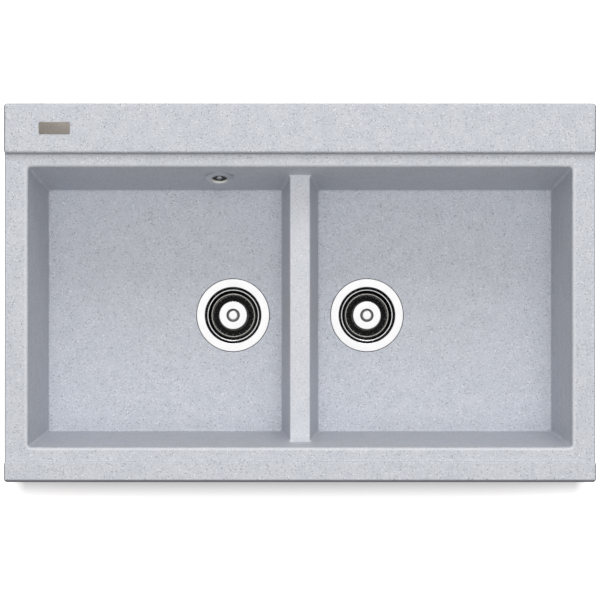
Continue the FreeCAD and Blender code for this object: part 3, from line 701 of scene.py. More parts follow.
@dataclass(frozen=True)
class GraniteComposite(Finish):
    """Quartz sand in acrylic resin, cast against a silk matt mould: dark and pale grains."""

    body: str = "#CCD0D9"
    cloud: str = "#C5CAD3"
    dark: str = "#72757C"
    pale: str = "#F6F8FC"
    cloud_mm: float = 24.0
    # The real sand is 0.3 to 0.7 mm. It is drawn coarser, so that it shows at this distance.
    grain_mm: float = 1.7
    sand_mm: float = 0.8
    dark_share: float = 0.16
    pale_share: float = 0.16
    # Painted highlight on the bowls' lips and on the divider's crown, in a pale resin tone.
    skin: str = "#E6E9EF"
    skin_share: float = 0.52
    crown_share: float = 0.3
    # Painted shade on the rim's outer edge and in the valley at the deck's foot.
    ground: str = "#54585E"
    ground_share: float = 0.9
    foot_share: float = 0.42
    foot_y: float = 0.202
    # Painted shade that darkens the walls towards the floor.
    wall_shade: str = "#878B93"
    wall_shade_share: float = 0.18
    # Places on the cast, in metres, between which these regions fade in or out.
    lip_z: Point = (-0.09, -0.07)
    deck_z: Point = (0.0101, 0.0105)
    crown_x: Point = (0.014, 0.018)
    crown_z: Point = (-0.04, -0.03)
    arris_x: Point = (0.4278, 0.4292)
    arris_y: Point = (-0.2724, -0.2706)
    arris_z: Point = (-0.002, 0.0)
    foot_reach: Point = (0.0005, 0.003)
    wall_z: Point = (-0.18, -0.02)

    def dress(self, net: Net) -> dict[str, Any]:
        """Scatters the grains, paints highlight and shade on the edges and walls and gives the
        resin its grain-deep relief.

        Args:
            net: Tree of the material.

        Returns:
            What goes into the shader's inputs.
        """
        spot = net.add(SPOT, give="Object")
        drift = net.add(NOISE, {"Vector": spot, "Scale": fine(self.cloud_mm), "Detail": 3.0})
        layers = [(net.add(MAP, (drift, 0.35, 0.65, 0.0, 1.0)), self.cloud)]
        for size, strength in ((self.grain_mm, 0.95), (self.sand_mm, 0.7)):
            inputs = {"Vector": spot, "Scale": fine(size)}
            cells = net.add("ShaderNodeTexVoronoi", inputs).node.outputs
            draw = net.add("ShaderNodeSeparateColor", (cells["Color"],)).node.outputs
            for low, high, tone in (
                (self.dark_share, self.dark_share - 0.03, self.dark),
                (1 - self.pale_share, 1 - self.pale_share + 0.03, self.pale),
            ):
                grain = self.share(
                    net,
                    (draw[0], low, high, 0.0, 1.0),
                    (draw[1], 0.0, 1.0, 0.25, 1.0),
                    (cells["Distance"], 0.3, 0.6, strength, 0.0),
                )
                layers.append((grain, tone))
        lip, rim, wall = self.regions(net, spot)
        # Painted shade low in the walls, painted highlight on lips and crown, painted shade on the
        # outer edge and at the deck's foot.
        layers += [(wall, self.wall_shade), (lip, self.skin), (rim, self.ground)]
        colour: Socket | str = self.body
        for share, tone in layers:
            colour = net.add(MIX, {0: share, 6: colour, 7: tone}, 2, data_type="RGBA")
        sand = net.add(NOISE, {"Vector": spot, "Scale": fine(self.sand_mm), "Detail": 2.0})
        touch = self.touch(net, sand, (0.3, 0.7), (0.42, 0.58), 0.05)
        return {"Base Color": colour, "IOR": 1.5, **touch}

    def regions(self, net: Net, spot: Socket) -> tuple[Socket, Socket, Socket]:
        """Finds the round edges and the walls, by the way they face and by their height.

        Args:
            net: Tree of the material.
            spot: Socket with the place on the piece.

        Returns:
            Share of painted highlight on lips and crown, share of painted shade on the outer edge
            and at the deck's foot, and share of painted shade that darkens the walls towards the
            floor.
        """
        facing = net.add("ShaderNodeNewGeometry", give="Normal")
        upward = net.add("ShaderNodeSeparateXYZ", (facing,), "Z")
        level = net.add("ShaderNodeVectorMath", (spot, (1.0, 1.0, 0.0)), operation="MULTIPLY")
        outward = net.add(
            "ShaderNodeVectorMath", (facing, level), "Value", operation="DOT_PRODUCT"
        )
        axes = net.add("ShaderNodeSeparateXYZ", (spot,)).node.outputs
        height = axes["Z"]
        aside = net.add(MATH, (axes["X"],), operation="ABSOLUTE")
        # A lip leans between wall and rim, and its slope falls towards the sink's middle. Lips and
        # the divider's crown get a painted highlight.
        lip = self.share(
            net,
            (upward, 0.3, 0.7, 0.0, self.skin_share),
            (upward, 0.96, 0.998, 1.0, 0.0),
            (outward, 0.03, 0.08, 1.0, 0.0),
            (height, *self.lip_z, 0.0, 1.0),
            (height, *self.deck_z, 1.0, 0.0),
        )
        # Painted highlight on the divider's crown.
        crown = self.share(
            net, (aside, *self.crown_x, self.crown_share, 0.0), (height, *self.crown_z, 1.0, 0.0)
        )
        # Painted shade on the rim's outer edge, at the sides and the front.
        side = net.add(MAP, (aside, *self.arris_x, 0.0, self.ground_share))
        front = net.add(MAP, (axes["Y"], *self.arris_y, self.ground_share, 0.0))
        edge = net.add(MATH, (side, front), operation="MAXIMUM")
        arris = self.share(
            net,
            (edge, 0.0, 1.0, 0.0, 1.0),
            (upward, 0.05, 0.25, 0.0, 1.0),
            (height, *self.arris_z, 0.0, 1.0),
        )
        # Painted shade in the valley at the deck's foot.
        past_foot = net.add(MATH, (axes["Y"], self.foot_y), operation="SUBTRACT")
        from_foot = net.add(MATH, (past_foot,), operation="ABSOLUTE")
        foot = net.add(MAP, (from_foot, *self.foot_reach, self.foot_share, 0.0))
        # Painted shade, darker low in the walls.
        wall = self.share(
            net, (height, *self.wall_z, self.wall_shade_share, 0.0), (upward, 0.4, 0.7, 1.0, 0.0)
        )
        return (
            net.add(MATH, (lip, crown), operation="MAXIMUM"),
            net.add(MATH, (arris, foot), operation="MAXIMUM"),
            wall,
        )


@dataclass(frozen=True)
class TwoToneFinish(Finish):
    """A finish whose colour drifts to a second tone."""

    colour: str
    shade: str

    def tint(self, net: Net, *limit: Socket | float) -> dict[str, Any]:
        """Colour that drifts to the shade with a pattern.

        Args:
            net: Tree of the material.
            *limit: Socket with the pattern, two of its values, and the shade's share at these.

        Returns:
            What goes into the shader's input.
        """
        share = net.add(MAP, limit)
        inputs = {0: share, 6: self.colour, 7: self.shade}
        return {"Base Color": net.add(MIX, inputs, 2, data_type="RGBA")}


@dataclass(frozen=True)
class TurnedMetal(TwoToneFinish):
    """Metal finished on the lathe or the polishing wheel: fine rings stretch its highlights."""

    colour: str = "#EBECEE"
    shade: str = "#E2E4E7"
    roughness: float = 0.16
    spread: float = 0.06
    # Polishing rings are finer than 0.1 mm. They are drawn at this width, so that they show.
    ring_mm: float = 0.5
    wipe_mm: float = 14.0
    depth_mm: float = 0.002

    def dress(self, net: Net) -> dict[str, Any]:
        """Draws the rings along the lathe's UV map.

        Args:
            net: Tree of the material.

        Returns:
            What goes into the shader's inputs.
        """
        trace = net.add("ShaderNodeUVMap", uv_map="turning")
        scale = (fine(60), fine(self.ring_mm), 1.0)
        stretched = net.add("ShaderNodeMapping", {"Vector": trace, "Scale": scale})
        rings = net.add(NOISE, {"Vector": stretched, "Scale": 1.0, "Detail": 3.0})
        spot = net.add(SPOT, give="Object")
        wipe = net.add(NOISE, {"Vector": spot, "Scale": fine(self.wipe_mm), "Detail": 2.0})
        rough = (self.roughness - self.spread, self.roughness + self.spread)
        return {
            "Metallic": 1.0,
            **self.tint(net, wipe, 0.3, 0.7, 0.0, 0.6),
            **self.touch(net, rings, (0.3, 0.7), rough, self.depth_mm),
        }


@dataclass(frozen=True)
class SheetMetal(TwoToneFinish):
    """Stamped sheet, brushed or zinc plated: straight hairlines or a faint blotch of plating."""

    colour: str = "#B4B6B8"
    shade: str = "#9A9C9F"
    roughness: float = 0.34
    spread: float = 0.08
    line_mm: Corner = (30.0, 0.35, 30.0)
    blotch_mm: float = 5.0
    depth_mm: float = 0.003

    def dress(self, net: Net) -> dict[str, Any]:
        """Draws the hairlines and the blotches.

        Args:
            net: Tree of the material.

        Returns:
            What goes into the shader's inputs.
        """
        spot = net.add(SPOT, give="Object")
        scale = tuple(fine(size) for size in self.line_mm)
        stretched = net.add("ShaderNodeMapping", {"Vector": spot, "Scale": scale})
        lines = net.add(NOISE, {"Vector": stretched, "Scale": 1.0, "Detail": 3.0})
        blotch = net.add(NOISE, {"Vector": spot, "Scale": fine(self.blotch_mm), "Detail": 3.0})
        rough = (self.roughness - self.spread, self.roughness + self.spread)
        return {
            "Metallic": 1.0,
            **self.tint(net, blotch, 0.35, 0.65, 0.0, 1.0),
            **self.touch(net, lines, (0.3, 0.7), rough, self.depth_mm),
        }


@dataclass(frozen=True)
class MouldedPlastic(TwoToneFinish):
    """Injection moulded polypropylene: waxy, a little translucent, with a fine eroded texture."""

    colour: str = "#E9E9E6"
    shade: str = "#DEDEDA"
    roughness: float = 0.42
    texture_mm: float = 0.9
    flow_mm: float = 30.0

    def dress(self, net: Net) -> dict[str, Any]:
        """Gives the waxy body and the mould's texture.

        Args:
            net: Tree of the material.

        Returns:
            What goes into the shader's inputs.
        """
        spot = net.add(SPOT, give="Object")
        flow = net.add(NOISE, {"Vector": spot, "Scale": fine(self.flow_mm), "Detail": 2.0})
        grain = net.add(NOISE, {"Vector": spot, "Scale": fine(self.texture_mm), "Detail": 2.0})
        rough = (self.roughness - 0.05, self.roughness + 0.06)
        return {
            "IOR": 1.49,
            "Subsurface Weight": 0.08,
            "Subsurface Radius": (1.0, 1.0, 0.9),
            "Subsurface Scale": 2 * MM,
            **self.tint(net, flow, 0.3, 0.7, 0.0, 1.0),
            **self.touch(net, grain, (0.3, 0.7), rough, 0.02),
        }


@dataclass(frozen=True)
class Rubber(TwoToneFinish):
    """Pressed rubber or cut foam: dull, dark, with pores where it is foam."""

    colour: str = "#2A2A2B"
    shade: str = "#1F1F20"
    pore_mm: float = 0.6
    pore_depth_mm: float = 0.02
    roughness: float = 0.72

    def dress(self, net: Net) -> dict[str, Any]:
        """Gives the dull body and its pores.

        Args:
            net: Tree of the material.

        Returns:
            What goes into the shader's inputs.
        """
        spot = net.add(SPOT, give="Object")
        pores = net.add("ShaderNodeTexVoronoi", {"Vector": spot, "Scale": fine(self.pore_mm)})
        rough = (self.roughness, min(1.0, self.roughness + 0.15))
        return {
            "IOR": 1.52,
            **self.tint(net, pores, 0.1, 0.6, 1.0, 0.0),
            **self.touch(net, pores, (0.1, 0.6), rough, self.pore_depth_mm),
        }


@dataclass(frozen=True)
class StudioPaper(TwoToneFinish):
    """Pale paper sweep, lit from behind, with a painted soft shadow before the sink's front edge.
    """

    colour: str = "#F6F6F6"
    # Colour of the painted shadow, which dims both the paper's colour and its glow.
    shade: str = "#A3A3A5"
    fibre_mm: float = 80.0
    glow: float = 0.8
    glow_radius_m: float = 0.72
    fade_m: float = 0.4
    shade_side_m: float = 0.45
    shade_front_m: float = -0.333
    shade_full_m: float = -0.294
    shade_back_m: float = -0.05

    def dress(self, net: Net) -> dict[str, Any]:
        """Gives the paper its fibre, its glow and its painted shadow.

        Args:
            net: Tree of the material.

        Returns:
            What goes into the shader's inputs.
        """
        spot = net.add(SPOT, give="Object")
        fibre = net.add(NOISE, {"Vector": spot, "Scale": fine(self.fibre_mm), "Detail": 2.0})
        axes = net.add("ShaderNodeSeparateXYZ", (spot,)).node.outputs
        aside = net.add(MATH, (axes["X"],), operation="ABSOLUTE")
        # Painted shadow: a soft band, darkest just before the sink's front edge, that fades under
        # the sink.
        share = self.share(
            net,
            (aside, self.shade_side_m, self.shade_side_m + 0.03, 1.0, 0.0),
            (axes["Y"], self.shade_front_m, self.shade_full_m, 0.0, 1.0),
            (axes["Y"], self.shade_full_m, self.shade_back_m, 1.0, 0.0),
        )
        colour = self.tint(net, share, 0.0, 1.0, 0.0, 1.0)["Base Color"]
        reach = net.add("ShaderNodeVectorMath", (spot,), "Value", operation="LENGTH")
        end = self.glow_radius_m + self.fade_m
        return {
            "Base Color": colour,
            "Roughness": net.add(MAP, (fibre, 0.3, 0.7, 0.85, 0.95)),
            "Specular IOR Level": 0.1,
            "Emission Color": colour,
            "Emission Strength": net.add(MAP, (reach, self.glow_radius_m, end, self.glow, 0.0)),
        }


# Cast stone: pale and dark grains of two sizes in a soft, even sheen, with a painted highlight on
# lips and crown and painted shade on the outer edge, the deck's foot and low in the walls.
GRANITE = GraniteComposite("granite composite, silk matt cast", "granite")
# Wheel polish: bright, with a clear mirror and faint rings.
STEEL_POLISHED = TurnedMetal("stainless steel, polished", "polished_steel")
# Drawn sheet: a greyer and softer mirror than the polished flange. It is also laid in the cap's
# groove as painted shade.
STEEL_CUP = TurnedMetal(
    "stainless steel, drawn cup", "polished_steel", "#B9B9B6", "#9C9C99", 0.2, 0.06
)
# Satin turning: broad pale highlights without a mirror. It is also laid on the basket's ribs as a
# painted highlight.
STEEL_SATIN = TurnedMetal(
    "stainless steel, satin turned", "polished_steel", "#D6D7D9", "#C9CACD", 0.38, 0.05
)
# Darker steel laid as painted shade: the depth of well, basket and overflow mouth looks dark.
STEEL_PAINTED_SHADE = TurnedMetal(
    "stainless steel, dulled by water", "polished_steel", "#646462", "#50504E", 0.34, 0.08
)
# Brushed plate: a flat mid grey with fine lines along its length.
BADGE_STEEL = SheetMetal(
    "stainless steel, brushed plate", "plate", "#A29C97", "#9B9590", 0.55, 0.05
)
# Plating: cool grey, faintly blotched.
ZINC = SheetMetal("steel, zinc plated", "steel", line_mm=(3.0, 3.0, 3.0))
# Turned brass: warm yellow glints.
BRASS = TurnedMetal("brass, turned", "brass", "#C9A24E", "#B98F3C", 0.28, 0.08)
# Moulded plastic: white with milky edges. It is also laid on the overflow rosette's inner lip as a
# painted highlight.
PLASTIC = MouldedPlastic("polypropylene, moulded", "white_plastic")
# Blown plastic: grey, with one soft highlight on each wave.
HOSE_PLASTIC = MouldedPlastic(
    "polyethylene, blown corrugated", "grey_hose", "#C9C9C7", "#BDBDBB", 0.38, 0.7
)
# Pressed rubber: near black with hardly any shine.
RUBBER = Rubber("nitrile rubber, pressed", "black_rubber")
# Foam: dull grey with open pores.
FOAM = Rubber("closed cell foam tape", "grey_foam", "#55565A", "#3B3C40", 0.9, 0.12, 0.85)
# Paper: a white ground without any edge to see, with a painted shadow before the sink's front
# edge.
PAPER = StudioPaper("paper sweep", "none")


def fit(piece: Piece, finish: Finish, node: str, body: str = "sink") -> Piece:
    """Dresses a piece, hangs it on its body and hides the node it stands for.

    Args:
        piece: The finished piece.
        finish: Its finish.
        node: Frame node that it replaces.
        body: Body that it rides on.

    Returns:
        The piece.
    """
    piece.data.materials.clear()
    piece.data.materials.append(finish.material())
    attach(piece, body)
    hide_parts(node)
    LOG.info("%s on %s, %s", piece.name, body, finish.name)
    return piece


def accent(
    piece: Piece, place: Matrix, finish: Finish, chosen: Callable[[float, float], bool]
) -> None:
    """Gives some faces of a dressed piece a second finish.

    Args:
        piece: The piece, already dressed.
        place: Matrix that carried it to its place.
        finish: Finish of the chosen faces.
        chosen: Test on a face's distance from the piece's axis and its height, in mm.
    """
    piece.data.materials.append(finish.material())
    number = len(piece.data.materials) - 1
    back = place.inverted()
    for face in piece.data.polygons:
        spot = (back @ face.center) / MM
        if chosen(spot.xy.length, spot.z):
            face.material_index = number


# Sub-assemblies


@dataclass
class Moulding:
    """The cast sink itself with the plate on its deck and the seal tape under its rim."""

    plate_corner: float = 2.0
    plate_edge: float = 0.35
    tape_width: float = 5.0
    tape_corner: float = 3.0

    def build(self) -> None:
        """Builds the cast, the plate and the tape."""
        fit(smoothed_copy("granite_casting", "sink_body"), GRANITE, "sink_body")
        self.plate()
        self.tape()

    def plate(self) -> None:
        """Blank plate, brushed along its length, with a fine chamfer."""
        low, high = (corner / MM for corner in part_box("deck_badge"))
        corners = rectangle(low.x, high.x, low.y, high.y, self.plate_corner)
        made = softened(prism("blank_deck_plate", corners, low.z, high.z), self.plate_edge, 3)
        fit(made, BADGE_STEEL, "deck_badge")

    def tape(self) -> None:
        """Foam tape in its groove, a closed ring with a crowned underside."""
        low, high = (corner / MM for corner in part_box("rim_seal"))
        width = self.tape_width
        across = [
            (0.0, high.z), (0.0, low.z + 0.5), (0.4, low.z + 0.1), (width / 2, low.z),
            (width - 0.4, low.z + 0.1), (width, low.z + 0.5), (width, high.z),
        ]
        mesh = bmesh.new()
        loops = []
        for inset, height in across:
            sides = (low.x + inset, high.x - inset, low.y + inset, high.y - inset)
            ring = rounded(rectangle(*sides, self.tape_corner), 6)
            loops.append([mesh.verts.new(Vector((x, y, height)) * MM) for x, y in ring])
        for index, loop in enumerate(loops):
            join_rings(mesh, loop, loops[(index + 1) % len(loops)])
        fit(to_object("rim_seal_tape", mesh), FOAM, "rim_seal")


@dataclass
class BasketStrainer:
    """One drain: flange and well in the stone, and the lift-out basket in it."""

    side: Side
    ring: Program
    flange_r: float = 56.0
    gasket_r: float = 47.0
    throat_r: float = 43.5
    throat_floor: float = -7.0
    ledge_r: float = 39.5
    well_r: float = 38.0
    well_floor: float = -42.0
    # Depth below which the well's inside is painted in shade.
    dull_below: float = -12.0
    sheet: float = 1.5
    hub_r: float = 8.0
    hub_floor: float = -50.5
    hub_bore: float = 3.1
    screw_r: float = 3.0
    screw_head_r: float = 6.5
    screw_head: float = 7.0
    screw_bore: float = 3.3
    screw_bore_depth: float = 5.4
    holes: int = 6
    hole_r: float = 3.9
    hole_circle_r: float = 14.5
    basket_r: float = 33.5
    basket_floor: float = -38.8
    basket_rim: float = -9.8
    basket_sheet: float = 1.2
    basket_lip: float = 1.3
    shoulder_width: float = 3.7
    shoulder_drop: float = 3.0
    basket_taper: float = 3.5
    slots: int = 18
    rib: float = 2.0
    cap_r: float = 21.6
    cap_top: float = -3.8
    cap_skirt: float = 3.0
    knob_r: float = 6.9
    knob_neck: float = 0.9
    groove_r: float = 10.4
    groove_depth: float = 3.0
    knob_height: float = 8.5
    sleeve_r: float = 5.7
    stem_r: float = 2.7
    rod_r: float = 2.6
    rod_neck: float = 2.1
    tip_length: float = 4.8
    collar_r: float = 10.0
    seal_r: float = 31.0
    seal_top_r: float = 24.0

    @property
    def place(self) -> Matrix:
        """Where the drain's own frame lies, with the bowl floor at height zero."""
        return drain_place(self.side)

    def build(self) -> None:
        """Builds the fixed pieces, then the basket."""
        self.well()
        self.fixings()
        self.cup()
        self.top()
        self.under()

    def name(self, piece: str) -> str:
        """Name of a piece on this side."""
        return f"{self.side.label}_{piece}"

    def slotted(self, piece: Piece, cutter: Piece, count: int) -> Piece:
        """Cuts a ring of equal openings in a piece about Z and carries it to its place.

        Args:
            piece: Piece that stays.
            cutter: Shape of the first opening.
            count: Number of openings.

        Returns:
            The cut piece.
        """
        done = cut(piece, self.ring.run(cutter, Count=count))
        done.data.transform(self.place)
        return done

    def lathe(
        self,
        piece: str,
        node: str,
        finish: Finish,
        corners: Sequence[Corner],
        steps: int = 96,
        body: str = "sink",
    ) -> Piece:
        """Turns a piece of the drain, dresses it and hangs it on its body.

        Args:
            piece: Name of the piece, without its side.
            node: Frame node that it replaces, without its side.
            finish: Its finish.
            corners: Outline (radius, height, corner radius) in mm.
            steps: Steps round the axis.
            body: Body that it rides on.

        Returns:
            The piece.
        """
        made = turned(self.name(piece), corners, self.place, steps)
        return fit(made, finish, self.name(node), body)

    def well(self) -> None:
        """Flange, throat, ledge and well in one pressing, with its drain holes."""
        sheet, throat, floor = self.sheet, self.throat_floor, self.well_floor
        outline = [
            (self.flange_r, -sheet, 0.0), (self.flange_r, 0.0, 0.8), (self.throat_r, 0.0, 1.0),
            (self.ledge_r, throat, 0.75), (self.well_r, throat, 0.75), (self.well_r, floor, 5.0),
            (self.hub_r, floor, 0.75), (self.hub_r, self.hub_floor, 0.0),
            (self.hub_bore, self.hub_floor, 0.0), (self.hub_bore, self.hub_floor - sheet, 0.0),
            (self.hub_r + sheet, self.hub_floor - sheet, 1.5),
            (self.hub_r + sheet, floor - sheet, 0.75), (self.well_r + sheet, floor - sheet, 5.0),
            (self.well_r + sheet, throat - sheet, 0.75),
            (self.throat_r + sheet, throat - sheet, 0.75), (self.throat_r + sheet, -sheet, 0.0),
        ]
        body = turned(self.name("flange_and_well"), outline, STILL, 144)
        bore = rectangle(0, self.hole_r, -55, -35)
        body = self.slotted(body, turned("hole", bore, at(self.hole_circle_r), 32), self.holes)
        fit(body, STEEL_POLISHED, self.name("strainer_well"))
        inner, low = self.well_r + 0.1, self.dull_below
        # Painted shade: the well's inside below this depth takes the darker steel.
        accent(body, self.place, STEEL_PAINTED_SHADE, lambda r, z: r < inner and z < low)

    def fixings(self) -> None:
        """Gasket under the flange and the screw in the well's hub."""
        lip = self.flange_r + 0.1
        gasket = [
            (self.gasket_r, -2.7, 0.2), (lip + 0.5, -2.7, 0.2), (lip + 0.5, -1.2, 0.2),
            (lip, -1.2, 0.1), (lip, -1.5, 0.0), (self.gasket_r, -1.5, 0.2),
        ]
        self.lathe("flange_ring", "flange_gasket", RUBBER, gasket)
        shank, head, bore, seat = self.screw_r, self.screw_head_r, self.screw_bore, self.hub_floor
        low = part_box(self.name("centre_screw"))[0].z / MM - FLOOR_Z
        top = seat + self.screw_head
        end = top - self.screw_bore_depth
        screw = [
            (0.0, low, 0.0), (shank - 0.6, low, 0.0), (shank, low + 0.8, 0.0), (shank, seat, 0.2),
            (head, seat, 0.3), (head, top, 0.6), (bore, top, 0.3), (bore, end, 0.0),
            (0.0, end, 0.0),
        ]
        self.lathe("hollow_head_screw", "centre_screw", STEEL_CUP, screw, 48)

    def cup(self) -> None:
        """Drawn cup with a round shoulder and its slots cut through wall and floor."""
        lip_r = self.basket_r - self.basket_lip
        wall_r = lip_r - self.shoulder_width
        foot_r = wall_r - self.basket_taper
        floor, sheet, top = self.basket_floor, self.basket_sheet, self.basket_rim
        bend = top - self.shoulder_drop
        outline = [
            (self.stem_r, floor, 0.0), (foot_r + sheet, floor, 3.0),
            (wall_r + sheet, bend - sheet / 2, 4.0), (self.basket_r, top - sheet, 0.3),
            (self.basket_r, top, 0.5), (lip_r, top, 0.5), (wall_r, bend, 2.8),
            (foot_r, floor + sheet, 1.8), (self.stem_r, floor + sheet, 0.0),
        ]
        near, far = self.cap_r + 1.5, lip_r
        spread = math.tan(math.pi / self.slots)
        near_half, far_half = (reach * spread - self.rib / 2 for reach in (near, far))
        plan = [
            (near, -near_half, 1.2), (far, -far_half, 0.0), (far, far_half, 0.0),
            (near, near_half, 1.2),
        ]
        body = turned(self.name("slotted_cup"), outline, STILL, 144)
        body = self.slotted(body, prism("slot", plan, floor - 5, top + 5, bend=4), self.slots)
        fit(body, STEEL_CUP, self.name("basket_cup"), self.name("basket"))
        # Painted shade: the cup below its shoulder takes the darker steel.
        accent(body, self.place, STEEL_PAINTED_SHADE, lambda r, z: z < bend + 0.4 and r < lip_r)
        foot, low = foot_r - 0.5, floor + 1.8
        # Painted highlight: the ribs between the slots take the paler satin steel.
        accent(body, self.place, STEEL_SATIN, lambda r, z: r > foot and low < z < bend - 0.2)

    def top(self) -> None:
        """Cap with its groove, and the knob on the stem."""
        basket = self.name("basket")
        top, sheet = self.cap_top, self.sheet
        low, skirt = top - self.groove_depth, top - self.cap_skirt
        cap = [
            (self.stem_r, low - sheet, 0.0), (self.groove_r + sheet, low - sheet, 0.3),
            (self.groove_r + sheet, top - sheet, 0.3), (self.cap_r - sheet, top - sheet, 0.8),
            (self.cap_r - sheet, skirt, 0.3), (self.cap_r, skirt, 0.4), (self.cap_r, top, 1.0),
            (self.groove_r, top, 0.4), (self.knob_r + 0.2, low, 0.0), (self.stem_r, low, 0.0),
        ]
        made = self.lathe("basket_cover", "basket_cap", STEEL_POLISHED, cap, 128, basket)
        # Painted shade: the groove round the knob takes the greyer cup steel.
        accent(made, self.place, STEEL_CUP, lambda r, z: r < self.groove_r - 0.3 and z < top - 0.3)
        high, neck = low + self.knob_height, self.knob_r - self.knob_neck
        knob = [
            (self.stem_r, low, 0.0), (neck, low, 0.3), (neck, low + 1.6, 0.4),
            (self.knob_r, low + 2.8, 0.8), (self.knob_r, high, 1.2), (0.0, high, 0.0),
            (0.0, high - 2.3, 0.0), (self.stem_r, high - 2.3, 0.0),
        ]
        self.lathe("lift_knob", "basket_knob", STEEL_POLISHED, knob, 64, basket)

    def under(self) -> None:
        """Sleeve, stem and seal, which show when the basket is lifted."""
        basket, floor, low = self.name("basket"), self.basket_floor, self.well_floor + 0.2
        cap_low = self.cap_top - self.groove_depth - self.sheet
        sleeve = rectangle(
            self.stem_r, self.sleeve_r, floor + self.basket_sheet, cap_low, 0.0, 0.3, 0.3, 0.0
        )
        self.lathe("spacer_sleeve", "basket_sleeve", STEEL_CUP, sleeve, 48, basket)
        rod, neck, tip = self.rod_r, self.rod_neck, low - self.tip_length
        top = self.cap_top - self.groove_depth + self.knob_height - 2.4
        stem = [
            (0.0, tip, 0.0), (rod, tip, 1.1), (rod, tip + 2.4, 0.3), (neck, tip + 2.9, 0.3),
            (neck, tip + 3.5, 0.3), (rod, tip + 4.0, 0.3), (rod, low, 0.2),
            (self.collar_r, low, 0.6), (self.collar_r, floor, 0.3), (rod, floor, 0.0),
            (rod, top, 0.5), (0.0, top, 0.0),
        ]
        self.lathe("collared_stem", "basket_stem", STEEL_CUP, stem, 48, basket)
        inner = self.collar_r + 0.1
        seal = [
            (inner, low, 0.3), (self.seal_r - 2.0, low, 0.8), (self.seal_r, low + 0.8, 0.4),
            (self.seal_r, low + 1.4, 0.4), (self.seal_top_r, floor, 0.8), (inner, floor, 0.3),
        ]
        self.lathe("drain_seal", "basket_seal", RUBBER, seal, body=basket)


